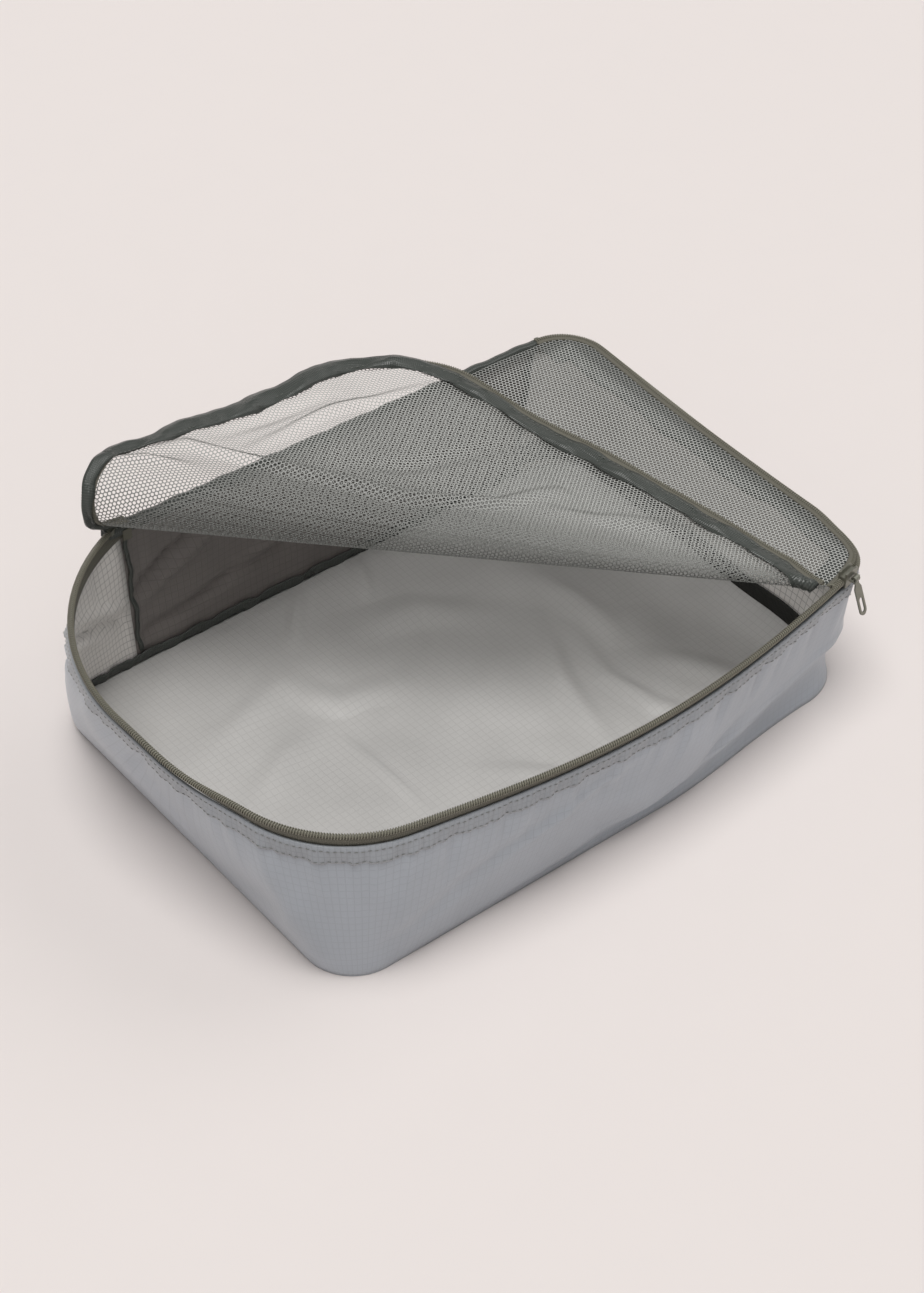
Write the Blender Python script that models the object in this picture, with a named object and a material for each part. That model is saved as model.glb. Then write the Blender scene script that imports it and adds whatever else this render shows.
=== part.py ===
"""Packing cube: a soft ripstop tray with a zipped mesh lid, its free part folded back.

Metres, +Z up. The origin is on the floor under the middle of the base. +X runs along the
long side, +Y towards the back wall that the lid is sewn to.
"""
import math

import bmesh
import bpy
import numpy as np
from mathutils import Matrix, Vector

# Driving dimensions, in metres and degrees
RIM_RIGHT = 0.200
RIM_BACK = 0.139
RIM_Z_BACK_RIGHT = 0.0969   # rim height at the back right corner
RIM_SLOPE_X = -0.0345       # the rim stands a little higher to the left and to the back
RIM_SLOPE_Y = 0.0154
FRONT_BOW = (-0.016, 0.6137, 0.7748)    # centre x, y and radius: the front side bows out
LEFT_BOW = (0.2521, 0.0269, 0.4768)
CORNER_A = 0.1408           # corner radii: A back left, B front left, C front right, D back right
CORNER_B = 0.079
CORNER_C = 0.030
CORNER_D = 0.030
BACK_LEFT_X = -0.136        # the back wall's left seam, where the zip starts
BASE_LEFT, BASE_RIGHT = -0.190, 0.181
BASE_FRONT, BASE_BACK = -0.1435, 0.1395
BASE_CORNER = 0.030
BASE_SEAM_X = -0.131        # foot of the back wall's left seam

GAP = 0.0003                # between pieces that touch
WALL_GAP = 0.0008           # between the curved walls and what is sewn inside them
WALL = 0.0012               # thickness of the fabric walls
BASE_THICKNESS = 0.0012
BINDING_THICKNESS = 0.0010
BASE_BINDING_HEIGHT = 0.010
SEAM_BINDING_WIDTH = 0.008
WALL_TOP = -0.0070          # heights from the rim, where the tray's zip chain runs
TAPE_LOW, TAPE_HIGH = -0.0067, -0.0015
TAPE_OUTER, TAPE_INNER = -0.0002, 0.0006   # the tape's depths from the rim line
HEM_LOW, HEM_HIGH = -0.0170, -0.0074
COIL_RADIUS = 0.0011
LID_COIL_RADIUS = 0.0010
LID_COIL_LIFT = 0.0024
LID_LIFT = 0.0030           # the lid mesh lies this far over the rim
MESH_HALF = 0.0005
BINDING_WIDTH = 0.012
HINGE_Y = 0.1385

APEX = (0.173, -0.1615)     # the fold's rulings all pass through this point, near corner C
FOLD_ANGLES = (46.8, 50.0, 53.2)    # rulings the lid bends at, from +Y towards -X
FOLD_STEP = 61.0            # bend at each ruling while folded back
RULING_GAP = 0.0008
FLAP_LEFT, FLAP_FRONT = -0.188, -0.152
FLAP_RIGHT_END = 0.135
FLAP_CORNER = 0.050
FOLD_INNER_END = 0.055      # the fold's pieces start this far from the apex

SLIDER_LENGTH = 0.012
SLIDER_BACK_OFF = 0.0067    # from the start of corner C to the slider's middle
PLATE_IN, PLATE_OUT = 0.0015, 0.0027
BAIL_AXIS_OUT, BAIL_AXIS_UP = 0.0052, 0.0018
BAIL_BAR = 0.0010
BAIL_SPAN = 0.0068
TAB_HANG = 22.0             # the tab rests this far out from straight down
TAB_LENGTH = 0.0235
TAB_WIDTH = 0.0065
TAB_THICKNESS = 0.0009
TAB_EYE_INNER, TAB_EYE_OUTER = 0.00110, 0.00195
TAB_EYE_WIDTH = 0.0040

CORNER_STEPS = 8
LONG_STEPS = 14
SHORT_STEPS = 8

COLOURS = {
    "ripstop": ((0.32, 0.34, 0.36, 1.0), 0.55),
    "base_ripstop": ((0.36, 0.355, 0.34, 1.0), 0.55),
    "back_ripstop": ((0.12, 0.11, 0.10, 1.0), 0.6),
    "binding": ((0.045, 0.050, 0.042, 1.0), 0.45),
    "zip_tape": ((0.20, 0.20, 0.165, 1.0), 0.8),
    "zip_coil": ((0.24, 0.235, 0.19, 1.0), 0.45),
    "mesh": ((0.19, 0.195, 0.17, 1.0), 0.6),
    "slider_metal": ((0.25, 0.25, 0.21, 1.0), 0.35),
}


# ---------------------------------------------------------------- scene and mesh helpers

def clear_scene():
    for item in list(bpy.data.objects):
        bpy.data.objects.remove(item, do_unlink=True)


def material(slot):
    """The Principled material of one slot, made once."""
    if slot in bpy.data.materials:
        return bpy.data.materials[slot]
    colour, roughness = COLOURS[slot]
    made = bpy.data.materials.new(slot)
    made.use_nodes = True
    shader = made.node_tree.nodes["Principled BSDF"]
    shader.inputs["Base Color"].default_value = colour
    shader.inputs["Roughness"].default_value = roughness
    shader.inputs["Metallic"].default_value = 0.9 if slot == "slider_metal" else 0.0
    return made


def add_object(name, mesh_builder, slot, origin=(0.0, 0.0, 0.0), smooth=False):
    """Turn a bmesh into a named object whose origin lies at `origin`."""
    bmesh.ops.remove_doubles(mesh_builder, verts=mesh_builder.verts, dist=1e-6)
    bmesh.ops.recalc_face_normals(mesh_builder, faces=mesh_builder.faces)
    bmesh.ops.triangulate(mesh_builder, faces=mesh_builder.faces)
    bmesh.ops.translate(mesh_builder, verts=mesh_builder.verts, vec=-Vector(origin))
    mesh = bpy.data.meshes.new(name)
    mesh_builder.to_mesh(mesh)
    mesh_builder.free()
    item = bpy.data.objects.new(name, mesh)
    item.location = origin
    bpy.context.scene.collection.objects.link(item)
    mesh.materials.append(material(slot))
    if smooth:
        mesh.shade_smooth()
        mesh.set_sharp_from_angle(angle=math.radians(40))
    return item


def sweep(name, sections, slot, closed=False, origin=(0.0, 0.0, 0.0), smooth=False):
    """A solid through a list of sections, each a loop of as many points."""
    builder = bmesh.new()
    rings = [[builder.verts.new(point) for point in section] for section in sections]
    count = len(rings[0])
    pairs = list(zip(rings, rings[1:]))
    if closed:
        pairs.append((rings[-1], rings[0]))
    for first, second in pairs:
        for k in range(count):
            m = (k + 1) % count
            builder.faces.new((first[k], first[m], second[m], second[k]))
    if not closed:
        builder.faces.new(rings[0])
        builder.faces.new(rings[-1])
    return add_object(name, builder, slot, origin, smooth)


# ---------------------------------------------------------------- the tray's outlines

def arc(centre, radius, start, end, steps):
    """Points on an arc, its start included and its end left for the next run."""
    angles = np.radians(start + (end - start) * np.arange(steps) / steps)
    return [(centre[0] + radius * math.cos(a), centre[1] + radius * math.sin(a)) for a in angles]


def line(start, end, steps):
    return [(start[0] + (end[0] - start[0]) * k / steps, start[1] + (end[1] - start[1]) * k / steps)
            for k in range(steps)]


def bearing(centre, point):
    """Direction of a point from a centre, in degrees from 0 to 360."""
    return math.degrees(math.atan2(point[1] - centre[1], point[0] - centre[0])) % 360


def circles_meet(first, first_radius, second, second_radius):
    """Where two circles meet, on the left of the way from the first centre to the second."""
    first, second = Vector(first), Vector(second)
    between = second - first
    along = (first_radius ** 2 - second_radius ** 2 + between.length ** 2) / (2 * between.length)
    aside = math.sqrt(first_radius ** 2 - along ** 2)
    unit = between.normalized()
    return tuple(first + unit * along + Vector((-unit.y, unit.x)) * aside)


def rim_corners():
    """Centres of the corner arcs that run smoothly into the bowed sides."""
    front_x, front_y, front_r = FRONT_BOW
    left, left_r = LEFT_BOW[:2], LEFT_BOW[2]
    a = circles_meet(left, left_r - CORNER_A, (BACK_LEFT_X, RIM_BACK), CORNER_A)
    b = circles_meet(left, left_r - CORNER_B, FRONT_BOW[:2], front_r - CORNER_B)
    c_x = RIM_RIGHT - CORNER_C
    c_y = front_y - math.sqrt((front_r - CORNER_C) ** 2 - (c_x - front_x) ** 2)
    return a, b, (c_x, c_y), (RIM_RIGHT - CORNER_D, RIM_BACK - CORNER_D)


def rim_outline():
    """The rim seen from above, from the zip's start round A, B, C and D along the back."""
    a, b, c, d = rim_corners()
    front, left = FRONT_BOW[:2], LEFT_BOW[:2]
    seam = bearing(a, (BACK_LEFT_X, RIM_BACK))
    points = arc(a, CORNER_A, seam, bearing(left, a), CORNER_STEPS + 1)
    points += arc(left, LEFT_BOW[2], bearing(left, a), bearing(left, b), SHORT_STEPS)
    points += arc(b, CORNER_B, bearing(left, b), bearing(front, b), CORNER_STEPS)
    points += arc(front, FRONT_BOW[2], bearing(front, b), bearing(front, c), LONG_STEPS)
    points += arc(c, CORNER_C, bearing(front, c), 360, CORNER_STEPS)
    points += line((RIM_RIGHT, c[1]), (RIM_RIGHT, d[1]), SHORT_STEPS)
    points += arc(d, CORNER_D, 0, 90, CORNER_STEPS)
    points += line((d[0], RIM_BACK), (BACK_LEFT_X, RIM_BACK), LONG_STEPS)
    return np.array(points)


def base_outline():
    """The base's outline, with its points in step with the rim's."""
    r = BASE_CORNER
    left, right, front, back = BASE_LEFT, BASE_RIGHT, BASE_FRONT, BASE_BACK
    points = line((BASE_SEAM_X, back), (left + r, back), 3)
    points += arc((left + r, back - r), r, 90, 180, CORNER_STEPS - 2)
    points += line((left, back - r), (left, front + r), SHORT_STEPS)
    points += arc((left + r, front + r), r, 180, 270, CORNER_STEPS)
    points += line((left + r, front), (right - r, front), LONG_STEPS)
    points += arc((right - r, front + r), r, 270, 360, CORNER_STEPS)
    points += line((right, front + r), (right, back - r), SHORT_STEPS)
    points += arc((right - r, back - r), r, 0, 90, CORNER_STEPS)
    points += line((right - r, back), (BASE_SEAM_X, back), LONG_STEPS)
    return np.array(points)


def outward(points, closed=True):
    """Unit normals to the right of the way round, which is outwards."""
    if closed:
        ahead, behind = np.roll(points, -1, 0), np.roll(points, 1, 0)
    else:
        ahead = np.vstack([points[1:], points[-1:]])
        behind = np.vstack([points[:1], points[:-1]])
    along = ahead - behind
    along /= np.linalg.norm(along, axis=1)[:, None]
    return np.column_stack([along[:, 1], -along[:, 0]])


def rim_z(x, y):
    return RIM_Z_BACK_RIGHT + RIM_SLOPE_X * (x - RIM_RIGHT) + RIM_SLOPE_Y * (y - RIM_BACK)


RIM = rim_outline()
BASE = base_outline()
RIM_NORMAL = outward(RIM)
BASE_NORMAL = outward(BASE)
RING = len(RIM)
CORNER_A_END = 1 + CORNER_STEPS
FRONT_START = CORNER_A_END + SHORT_STEPS + CORNER_STEPS
CORNER_C_START = FRONT_START + LONG_STEPS
CORNER_D_START = CORNER_C_START + CORNER_STEPS + SHORT_STEPS
ZIP_END = CORNER_D_START + CORNER_STEPS


def at(values, place):
    """A value between two points of a closed ring."""
    k = int(math.floor(place))
    share = place - k
    return values[k % RING] * (1 - share) + values[(k + 1) % RING] * share


def places(start, end):
    """Ring places from start to end, with every whole one between."""
    inner = [k for k in range(math.ceil(start + 1e-6), math.floor(end - 1e-6) + 1)]
    return [start] + inner + [end]


def wall_point(place, height, depth):
    """A point on the wall at a height, moved inwards by a depth."""
    rim, base = at(RIM, place), at(BASE, place)
    top = rim_z(*rim)
    share = height / top
    normal = at(RIM_NORMAL, place) * share + at(BASE_NORMAL, place) * (1 - share)
    normal /= np.linalg.norm(normal)
    x, y = base * (1 - share) + rim * share - normal * depth
    return (x, y, height)


def rim_height(place, above):
    return rim_z(*at(RIM, place)) + above


def band(name, stops, low, high, outer, inner, slot, closed=False):
    """A strip of wall between two heights and two depths; heights are functions of place."""
    sections = []
    for place in stops:
        z0, z1 = low(place), high(place)
        sections.append([wall_point(place, z0, outer), wall_point(place, z1, outer),
                         wall_point(place, z1, inner), wall_point(place, z0, inner)])
    return sweep(name, sections, slot, closed)


def from_floor(height):
    return lambda place: height


def from_rim(above):
    return lambda place: rim_height(place, above)


def rim_tube(name, stops, lift, radius, slot):
    """A six-sided tube along the rim: a run of zip coil."""
    sections = []
    for place in stops:
        x, y, z = wall_point(place, rim_height(place, lift), 0.0)
        normal = at(RIM_NORMAL, place)
        normal = normal / np.linalg.norm(normal)
        ring = []
        for k in range(6):
            turn = math.radians(60 * k)
            reach = radius * math.cos(turn)
            ring.append((x + normal[0] * reach, y + normal[1] * reach, z + radius * math.sin(turn)))
        sections.append(ring)
    return sweep(name, sections, slot, smooth=True)


# ---------------------------------------------------------------- tray

def build_base():
    builder = bmesh.new()
    inset = BASE - BASE_NORMAL * (WALL + WALL_GAP)
    bottom = [builder.verts.new((x, y, 0.0)) for x, y in inset]
    top = [builder.verts.new((x, y, BASE_THICKNESS)) for x, y in inset]
    builder.faces.new(bottom)
    builder.faces.new(top)
    for k in range(RING):
        m = (k + 1) % RING
        builder.faces.new((bottom[k], bottom[m], top[m], top[k]))
    add_object("base_panel", builder, "base_ripstop")


def build_walls():
    left_end, right_end = 0.0, float(ZIP_END)
    edge = GAP / 2 / 0.022      # half a gap, in ring places along the back
    band("gusset", places(left_end, right_end), from_floor(0.0), from_rim(WALL_TOP),
         0.0, WALL, "ripstop")
    band("back_wall", places(right_end + edge, RING - edge * 2), from_floor(0.0), from_rim(-0.0026),
         0.0, WALL, "back_ripstop")


def build_tray_bindings():
    inner = WALL + WALL_GAP
    low = BASE_THICKNESS + GAP
    band("base_seam_binding", range(RING), from_floor(low), from_floor(low + BASE_BINDING_HEIGHT),
         inner, inner + BINDING_THICKNESS, "binding", closed=True)
    seam_low = low + BASE_BINDING_HEIGHT + GAP
    step = np.linalg.norm(RIM[ZIP_END + 1] - RIM[ZIP_END])
    half = SEAM_BINDING_WIDTH / 2 / step
    for name, middle in (("left_seam_binding", RING - half), ("right_seam_binding", ZIP_END + half)):
        band(name, places(middle - half * 0.95, middle + half * 0.95), from_floor(seam_low),
             from_rim(-0.0110), inner, inner + BINDING_THICKNESS, "binding")
    band("rim_hem", places(0.4, ZIP_END - 0.4), from_rim(HEM_LOW), from_rim(HEM_HIGH),
         -WALL_GAP - BINDING_THICKNESS, -WALL_GAP, "ripstop")
    hinge = []
    for x in (RIM_RIGHT - CORNER_D - 0.002, BACK_LEFT_X + 0.006):
        z = rim_z(x, HINGE_Y)
        hinge.append([(x, HINGE_Y + 0.0016, z - 0.0022), (x, HINGE_Y + 0.0016, z + 0.0008),
                      (x, HINGE_Y - 0.0020, z + 0.0008), (x, HINGE_Y - 0.0020, z - 0.0022)])
    sweep("back_hinge_binding", hinge, "binding")


def build_tray_zip():
    stops = places(0.5, ZIP_END - 0.6)
    band("tray_zip_tape", stops, from_rim(TAPE_LOW), from_rim(TAPE_HIGH),
         TAPE_OUTER, TAPE_INNER, "zip_tape")
    rim_tube("tray_zip_coil", stops, -0.0001, COIL_RADIUS, "zip_coil")
    stop_ends = {"tray_top_stop": (0.10, 0.44), "zip_bottom_stop": (ZIP_END - 0.54, ZIP_END - 0.10)}
    for name, ends in stop_ends.items():
        band(name, ends, from_rim(-0.0022), from_rim(0.0016), -0.0016, 0.0016, "slider_metal")
    start = RING - 0.28
    band("tape_end_tab", [start, start + 0.27], from_rim(-0.0100), from_rim(-0.0026),
         0.0030, 0.0040, "zip_tape")


# ---------------------------------------------------------------- lid plane and its fold

PLANE_NORMAL = Vector((-RIM_SLOPE_X, -RIM_SLOPE_Y, 1.0)).normalized()
FOLD_ORIGIN = Vector((APEX[0], APEX[1], rim_z(*APEX) + LID_LIFT))


def lid_point(x, y, above=0.0):
    """A point over the flat lid's middle surface."""
    return Vector((x, y, rim_z(x, y) + LID_LIFT)) + PLANE_NORMAL * above


def ruling(angle):
    """Unit direction of a ruling in the flat lid, from +Y towards -X."""
    turn = math.radians(angle)
    x, y = -math.sin(turn), math.cos(turn)
    return Vector((x, y, RIM_SLOPE_X * x + RIM_SLOPE_Y * y)).normalized()


def fold_matrices():
    """Placements of the two fold strips and the flap, and the three hinge axes at rest."""
    total = Matrix.Identity(3)
    placed, axes = [], []
    for angle in FOLD_ANGLES:
        axes.append((total @ ruling(angle)).normalized())
        total = total @ Matrix.Rotation(math.radians(FOLD_STEP), 3, ruling(angle))
        placed.append(total.copy())
    return placed, axes


def folded(point, stage):
    """Carry a point of the flat lid to where it lies folded; stage 0 is the lid itself."""
    if stage == 0:
        return Vector(point)
    return FOLD_ORIGIN + FOLDS[stage - 1] @ (Vector(point) - FOLD_ORIGIN)


FOLDS, FOLD_AXES = fold_matrices()


def on_ruling(angle, distance, aside=0.0):
    """Plan point on a ruling, moved aside towards larger angles."""
    turn = math.radians(angle)
    x = APEX[0] - math.sin(turn) * distance - math.cos(turn) * aside
    y = APEX[1] + math.cos(turn) * distance - math.sin(turn) * aside
    return (x, y)


def flap_outline():
    """The flap's free edge in the flat lid, from the back edge round A and B to its front end."""
    r = FLAP_CORNER
    points = arc((FLAP_LEFT + r, RIM_BACK - r), r, 90, 180, CORNER_STEPS)
    points += line((FLAP_LEFT, RIM_BACK - r), (FLAP_LEFT, FLAP_FRONT + r), SHORT_STEPS)
    points += arc((FLAP_LEFT + r, FLAP_FRONT + r), r, 180, 270, CORNER_STEPS)
    points += line((FLAP_LEFT + r, FLAP_FRONT), (FLAP_RIGHT_END, FLAP_FRONT), LONG_STEPS)
    return np.array(points + [(FLAP_RIGHT_END, FLAP_FRONT)])


FLAP_EDGE = flap_outline()
FLAP_NORMAL = outward(FLAP_EDGE, closed=False)


def reach(angle, inset):
    """How far a ruling runs before it meets the lid's back left corner, less an inset."""
    centre = Vector((FLAP_LEFT + FLAP_CORNER, RIM_BACK - FLAP_CORNER))
    turn = math.radians(angle)
    way = Vector((-math.sin(turn), math.cos(turn)))
    offset = Vector(APEX) - centre
    half = offset.dot(way)
    spare = (FLAP_CORNER - inset) ** 2 - offset.length_squared + half ** 2
    return -half + math.sqrt(spare)


def plate(name, plan, low, high, stage, slot):
    """A flat panel of the lid: an outline in the flat lid, carried to its folded place."""
    builder = bmesh.new()
    bottom = [builder.verts.new(folded(lid_point(x, y, low), stage)) for x, y in plan]
    top = [builder.verts.new(folded(lid_point(x, y, high), stage)) for x, y in plan]
    builder.faces.new(bottom)
    builder.faces.new(top)
    for k in range(len(plan)):
        m = (k + 1) % len(plan)
        builder.faces.new((bottom[k], bottom[m], top[m], top[k]))
    return add_object(name, builder, slot, FOLD_ORIGIN if stage else (0.0, 0.0, 0.0))


def flap_places():
    """Indices of the free edge that lie beyond the last ruling."""
    beyond = []
    for k, (x, y) in enumerate(FLAP_EDGE):
        angle = math.degrees(math.atan2(APEX[0] - x, y - APEX[1]))
        if angle > FOLD_ANGLES[2] + 0.9:
            beyond.append(k)
    return beyond


def flap_strip(name, indices, outer, inner, low, high, slot):
    """A strip along the flap's free edge, between two insets and two heights."""
    sections = []
    for k in indices:
        corners = []
        for inset, above in ((outer, low), (outer, high), (inner, high), (inner, low)):
            x, y = FLAP_EDGE[k] - FLAP_NORMAL[k] * inset
            corners.append(folded(lid_point(x, y, above), 3))
        sections.append(corners)
    return sweep(name, sections, slot, origin=FOLD_ORIGIN)


def build_flap():
    edge = flap_places()
    inset = 0.0060
    inner_end = on_ruling(FOLD_ANGLES[2], FOLD_INNER_END, RULING_GAP)
    outer_end = on_ruling(FOLD_ANGLES[2], reach(FOLD_ANGLES[2], inset), RULING_GAP)
    rim = [tuple(FLAP_EDGE[k] - FLAP_NORMAL[k] * inset) for k in edge]
    plate("flap_mesh", [inner_end, outer_end] + rim, -MESH_HALF, MESH_HALF, 3, "mesh")
    flap_strip("flap_zip_tape", edge, 0.0013, 0.0057, -MESH_HALF, MESH_HALF, "zip_tape")
    low = -MESH_HALF - GAP - BINDING_THICKNESS
    flap_strip("flap_binding", edge, 0.0030, 0.0030 + BINDING_WIDTH, low, -MESH_HALF - GAP, "binding")
    sections = []
    for k in edge[1:]:
        ring = []
        for turn in range(0, 360, 60):
            x, y = FLAP_EDGE[k] + FLAP_NORMAL[k] * LID_COIL_RADIUS * math.cos(math.radians(turn))
            up = LID_COIL_RADIUS * math.sin(math.radians(turn))
            ring.append(folded(lid_point(x, y, up), 3))
        sections.append(ring)
    sweep("flap_zip_coil", sections, "zip_coil", origin=FOLD_ORIGIN, smooth=True)
    flap_strip("flap_top_stop", edge[:2], -0.0013, 0.0010, -0.0013, 0.0013, "slider_metal")
    stop = bpy.data.objects["flap_top_stop"]
    shorten_towards_first(stop, FLAP_EDGE[edge[0]], 0.45)


def shorten_towards_first(item, plan_point, keep):
    """Scale a small stop about the end that it starts from."""
    pivot = folded(lid_point(plan_point[0], plan_point[1]), 3) - Vector(item.location)
    for vertex in item.data.vertices:
        vertex.co = pivot + (vertex.co - pivot) * keep


def build_fold_strips():
    for stage, name in ((1, "fold_strip_lower"), (2, "fold_strip_upper")):
        first, second = FOLD_ANGLES[stage - 1], FOLD_ANGLES[stage]
        middle = (first + second) / 2
        inset = 0.0015
        plan = [on_ruling(first, FOLD_INNER_END, RULING_GAP),
                on_ruling(first, reach(first, inset), RULING_GAP),
                on_ruling(middle, reach(middle, inset)),
                on_ruling(second, reach(second, inset), -RULING_GAP),
                on_ruling(second, FOLD_INNER_END, -RULING_GAP)]
        plate(name, plan, -MESH_HALF, MESH_HALF, stage, "mesh")


def lid_stops():
    """Ring places of the closed lid's zipped edge: past the slider to near the lid's hinge."""
    return places(CORNER_C_START + 1.6, ZIP_END - 2.6)


def build_lid():
    stops = lid_stops()
    inset = 0.0063

    def inside(place, depth):
        normal = at(RIM_NORMAL, place)
        return tuple(at(RIM, place) - normal / np.linalg.norm(normal) * depth)

    back = HINGE_Y - 0.0030
    plan = [inside(place, inset) for place in stops[2:]]
    plan += [inside(ZIP_END - 1.2, inset), (RIM_RIGHT - CORNER_D, back), (0.0, back)]
    corner = (back - APEX[1]) / math.cos(math.radians(FOLD_ANGLES[0])) - 0.002
    plan += [on_ruling(FOLD_ANGLES[0], corner, -RULING_GAP),
             on_ruling(FOLD_ANGLES[0], FOLD_INNER_END, -RULING_GAP)]
    plate("lid_mesh", plan, -MESH_HALF, MESH_HALF, 0, "mesh")

    def strip(name, outer, inner, low, high, slot):
        sections = []
        for place in stops:
            corners = []
            for depth, above in ((outer, low), (outer, high), (inner, high), (inner, low)):
                corners.append(lid_point(*inside(place, depth), above))
            sections.append(corners)
        sweep(name, sections, slot)

    strip("lid_zip_tape", 0.0013, 0.0060, -MESH_HALF, MESH_HALF, "zip_tape")
    low = -MESH_HALF - GAP - BINDING_THICKNESS
    strip("lid_binding", 0.0040, 0.0040 + BINDING_WIDTH, low, -MESH_HALF - GAP, "binding")
    rim_tube("lid_zip_coil", stops, LID_COIL_LIFT, LID_COIL_RADIUS, "zip_coil")


# ---------------------------------------------------------------- slider and pull tab

def slider_frame():
    """Middle of the slider on the rim, its outward normal and the way along the zip."""
    front = Vector(FRONT_BOW[:2])
    start = math.radians(bearing(front, rim_corners()[2]))
    angle = start - SLIDER_BACK_OFF / FRONT_BOW[2]
    out = Vector((math.cos(angle), math.sin(angle), 0.0))
    point = Vector((front.x, front.y, 0.0)) + out * FRONT_BOW[2]
    point.z = rim_z(point.x, point.y)
    along = PLANE_NORMAL.cross(out).normalized()
    out = along.cross(PLANE_NORMAL).normalized()
    return point, out, along


SLIDER_POINT, SLIDER_OUT, SLIDER_ALONG = slider_frame()


def slider_place(along, out, up):
    return SLIDER_POINT + SLIDER_ALONG * along + SLIDER_OUT * out + PLANE_NORMAL * up


def build_slider():
    """Two wings straddle the tray's tape and coil; the nose above the coil joins them."""
    profile = [(-PLATE_OUT, -0.0030), (-PLATE_IN, -0.0030), (-PLATE_IN, 0.0014), (PLATE_IN, 0.0014),
               (PLATE_IN, -0.0030), (PLATE_OUT, -0.0030), (PLATE_OUT, 0.0066), (PLATE_IN, 0.0066),
               (PLATE_IN, 0.0036), (-PLATE_IN, 0.0036), (-PLATE_IN, 0.0066), (-PLATE_OUT, 0.0066)]
    sections = []
    for along, spread in ((-0.5, 1.0), (-0.35, 1.08), (0.1, 1.0), (0.38, 0.86), (0.5, 0.74)):
        section = []
        for out, up in profile:
            middle = 0.0018
            if up < 0 or up > 0.005:
                up = middle + (up - middle) * spread
            section.append(slider_place(along * SLIDER_LENGTH, out, up))
        sections.append(section)
    sweep("slider_body", sections, "slider_metal", origin=SLIDER_POINT)


def bail_axis():
    return slider_place(0.0, BAIL_AXIS_OUT, BAIL_AXIS_UP)


def build_bail():
    """A square wire staple on the outer wing; the pull tab's eye turns on its bar."""
    half, wire = BAIL_SPAN / 2, BAIL_BAR / 2
    foot = PLATE_OUT + GAP
    top = BAIL_AXIS_OUT
    outline = [(-half - wire, foot), (-half + wire, foot), (-half + wire, top - wire),
               (half - wire, top - wire), (half - wire, foot), (half + wire, foot),
               (half + wire, top + wire), (-half - wire, top + wire)]
    builder = bmesh.new()
    low = [builder.verts.new(slider_place(a, o, BAIL_AXIS_UP - wire)) for a, o in outline]
    high = [builder.verts.new(slider_place(a, o, BAIL_AXIS_UP + wire)) for a, o in outline]
    builder.faces.new(low)
    builder.faces.new(high)
    for k in range(len(outline)):
        m = (k + 1) % len(outline)
        builder.faces.new((low[k], low[m], high[m], high[k]))
    add_object("slider_bail", builder, "slider_metal", SLIDER_POINT)


def tab_frame():
    """Directions of the resting tab: down its length, and through its thickness."""
    hang = math.radians(TAB_HANG)
    down = (-PLANE_NORMAL * math.cos(hang) + SLIDER_OUT * math.sin(hang)).normalized()
    face = SLIDER_ALONG.cross(down).normalized()
    return down, face


def build_pull_tab():
    """A stamped tab with a curled eye; an oval hole is cut near its free end."""
    axis = bail_axis()
    down, face = tab_frame()

    def place(along, length, through):
        return axis + SLIDER_ALONG * along + down * length + face * through

    # curled eye: a ring whose axis is the bail's bar, open towards nothing
    sides = 16
    half = TAB_EYE_WIDTH / 2
    builder = bmesh.new()
    loops = []
    for along, radius in ((-half, TAB_EYE_OUTER), (half, TAB_EYE_OUTER), (half, TAB_EYE_INNER),
                          (-half, TAB_EYE_INNER)):
        loop = []
        for k in range(sides):
            turn = 2 * math.pi * k / sides
            loop.append(builder.verts.new(place(along, radius * math.cos(turn), radius * math.sin(turn))))
        loops.append(loop)
    for first, second in zip(loops, loops[1:] + loops[:1]):
        for k in range(sides):
            m = (k + 1) % sides
            builder.faces.new((first[k], first[m], second[m], second[k]))
    eye = add_object("eye_tool", builder, "slider_metal", axis)

    blade_start, blade_end = TAB_EYE_OUTER - 0.0004, TAB_LENGTH
    wide, neck = TAB_WIDTH / 2, TAB_EYE_WIDTH / 2 - 0.0002
    outline = [(-neck, blade_start), (-neck, blade_start + 0.002), (-wide, blade_start + 0.0045)]
    outline += [(-wide * math.cos(math.radians(t)), blade_end - wide + wide * math.sin(math.radians(t)))
                for t in range(0, 181, 20)]
    outline += [(wide, blade_start + 0.0045), (neck, blade_start + 0.002), (neck, blade_start)]
    blade = prism("blade_tool", outline, place, TAB_THICKNESS / 2, axis)
    hole_half, hole_top, hole_low = 0.0017, blade_end - 0.0095, blade_end - 0.0036
    hole = [(hole_half * math.cos(math.radians(t)), hole_low + hole_half * math.sin(math.radians(t)))
            for t in range(0, 181, 20)]
    hole += [(hole_half * math.cos(math.radians(t)), hole_top + hole_half * math.sin(math.radians(t)))
             for t in range(180, 361, 20)]
    cutter = prism("hole_tool", hole, place, TAB_THICKNESS * 2, axis)
    tab = join_by_boolean("pull_tab", blade, eye, cutter)
    tab.data.shade_smooth()
    tab.data.set_sharp_from_angle(angle=math.radians(35))


def prism(name, outline, place, half, origin):
    builder = bmesh.new()
    low = [builder.verts.new(place(a, d, -half)) for a, d in outline]
    high = [builder.verts.new(place(a, d, half)) for a, d in outline]
    builder.faces.new(low)
    builder.faces.new(high)
    for k in range(len(outline)):
        m = (k + 1) % len(outline)
        builder.faces.new((low[k], low[m], high[m], high[k]))
    return add_object(name, builder, "slider_metal", origin)


def join_by_boolean(name, body, added, removed):
    """Union one solid and cut another; the two tools stay as hidden guides."""
    body.name = name
    for tool, operation in ((added, "UNION"), (removed, "DIFFERENCE")):
        change = body.modifiers.new(operation.lower(), "BOOLEAN")
        change.operation = operation
        change.object = tool
        tool.hide_render = True
        tool.display_type = "WIRE"
    return body


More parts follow.
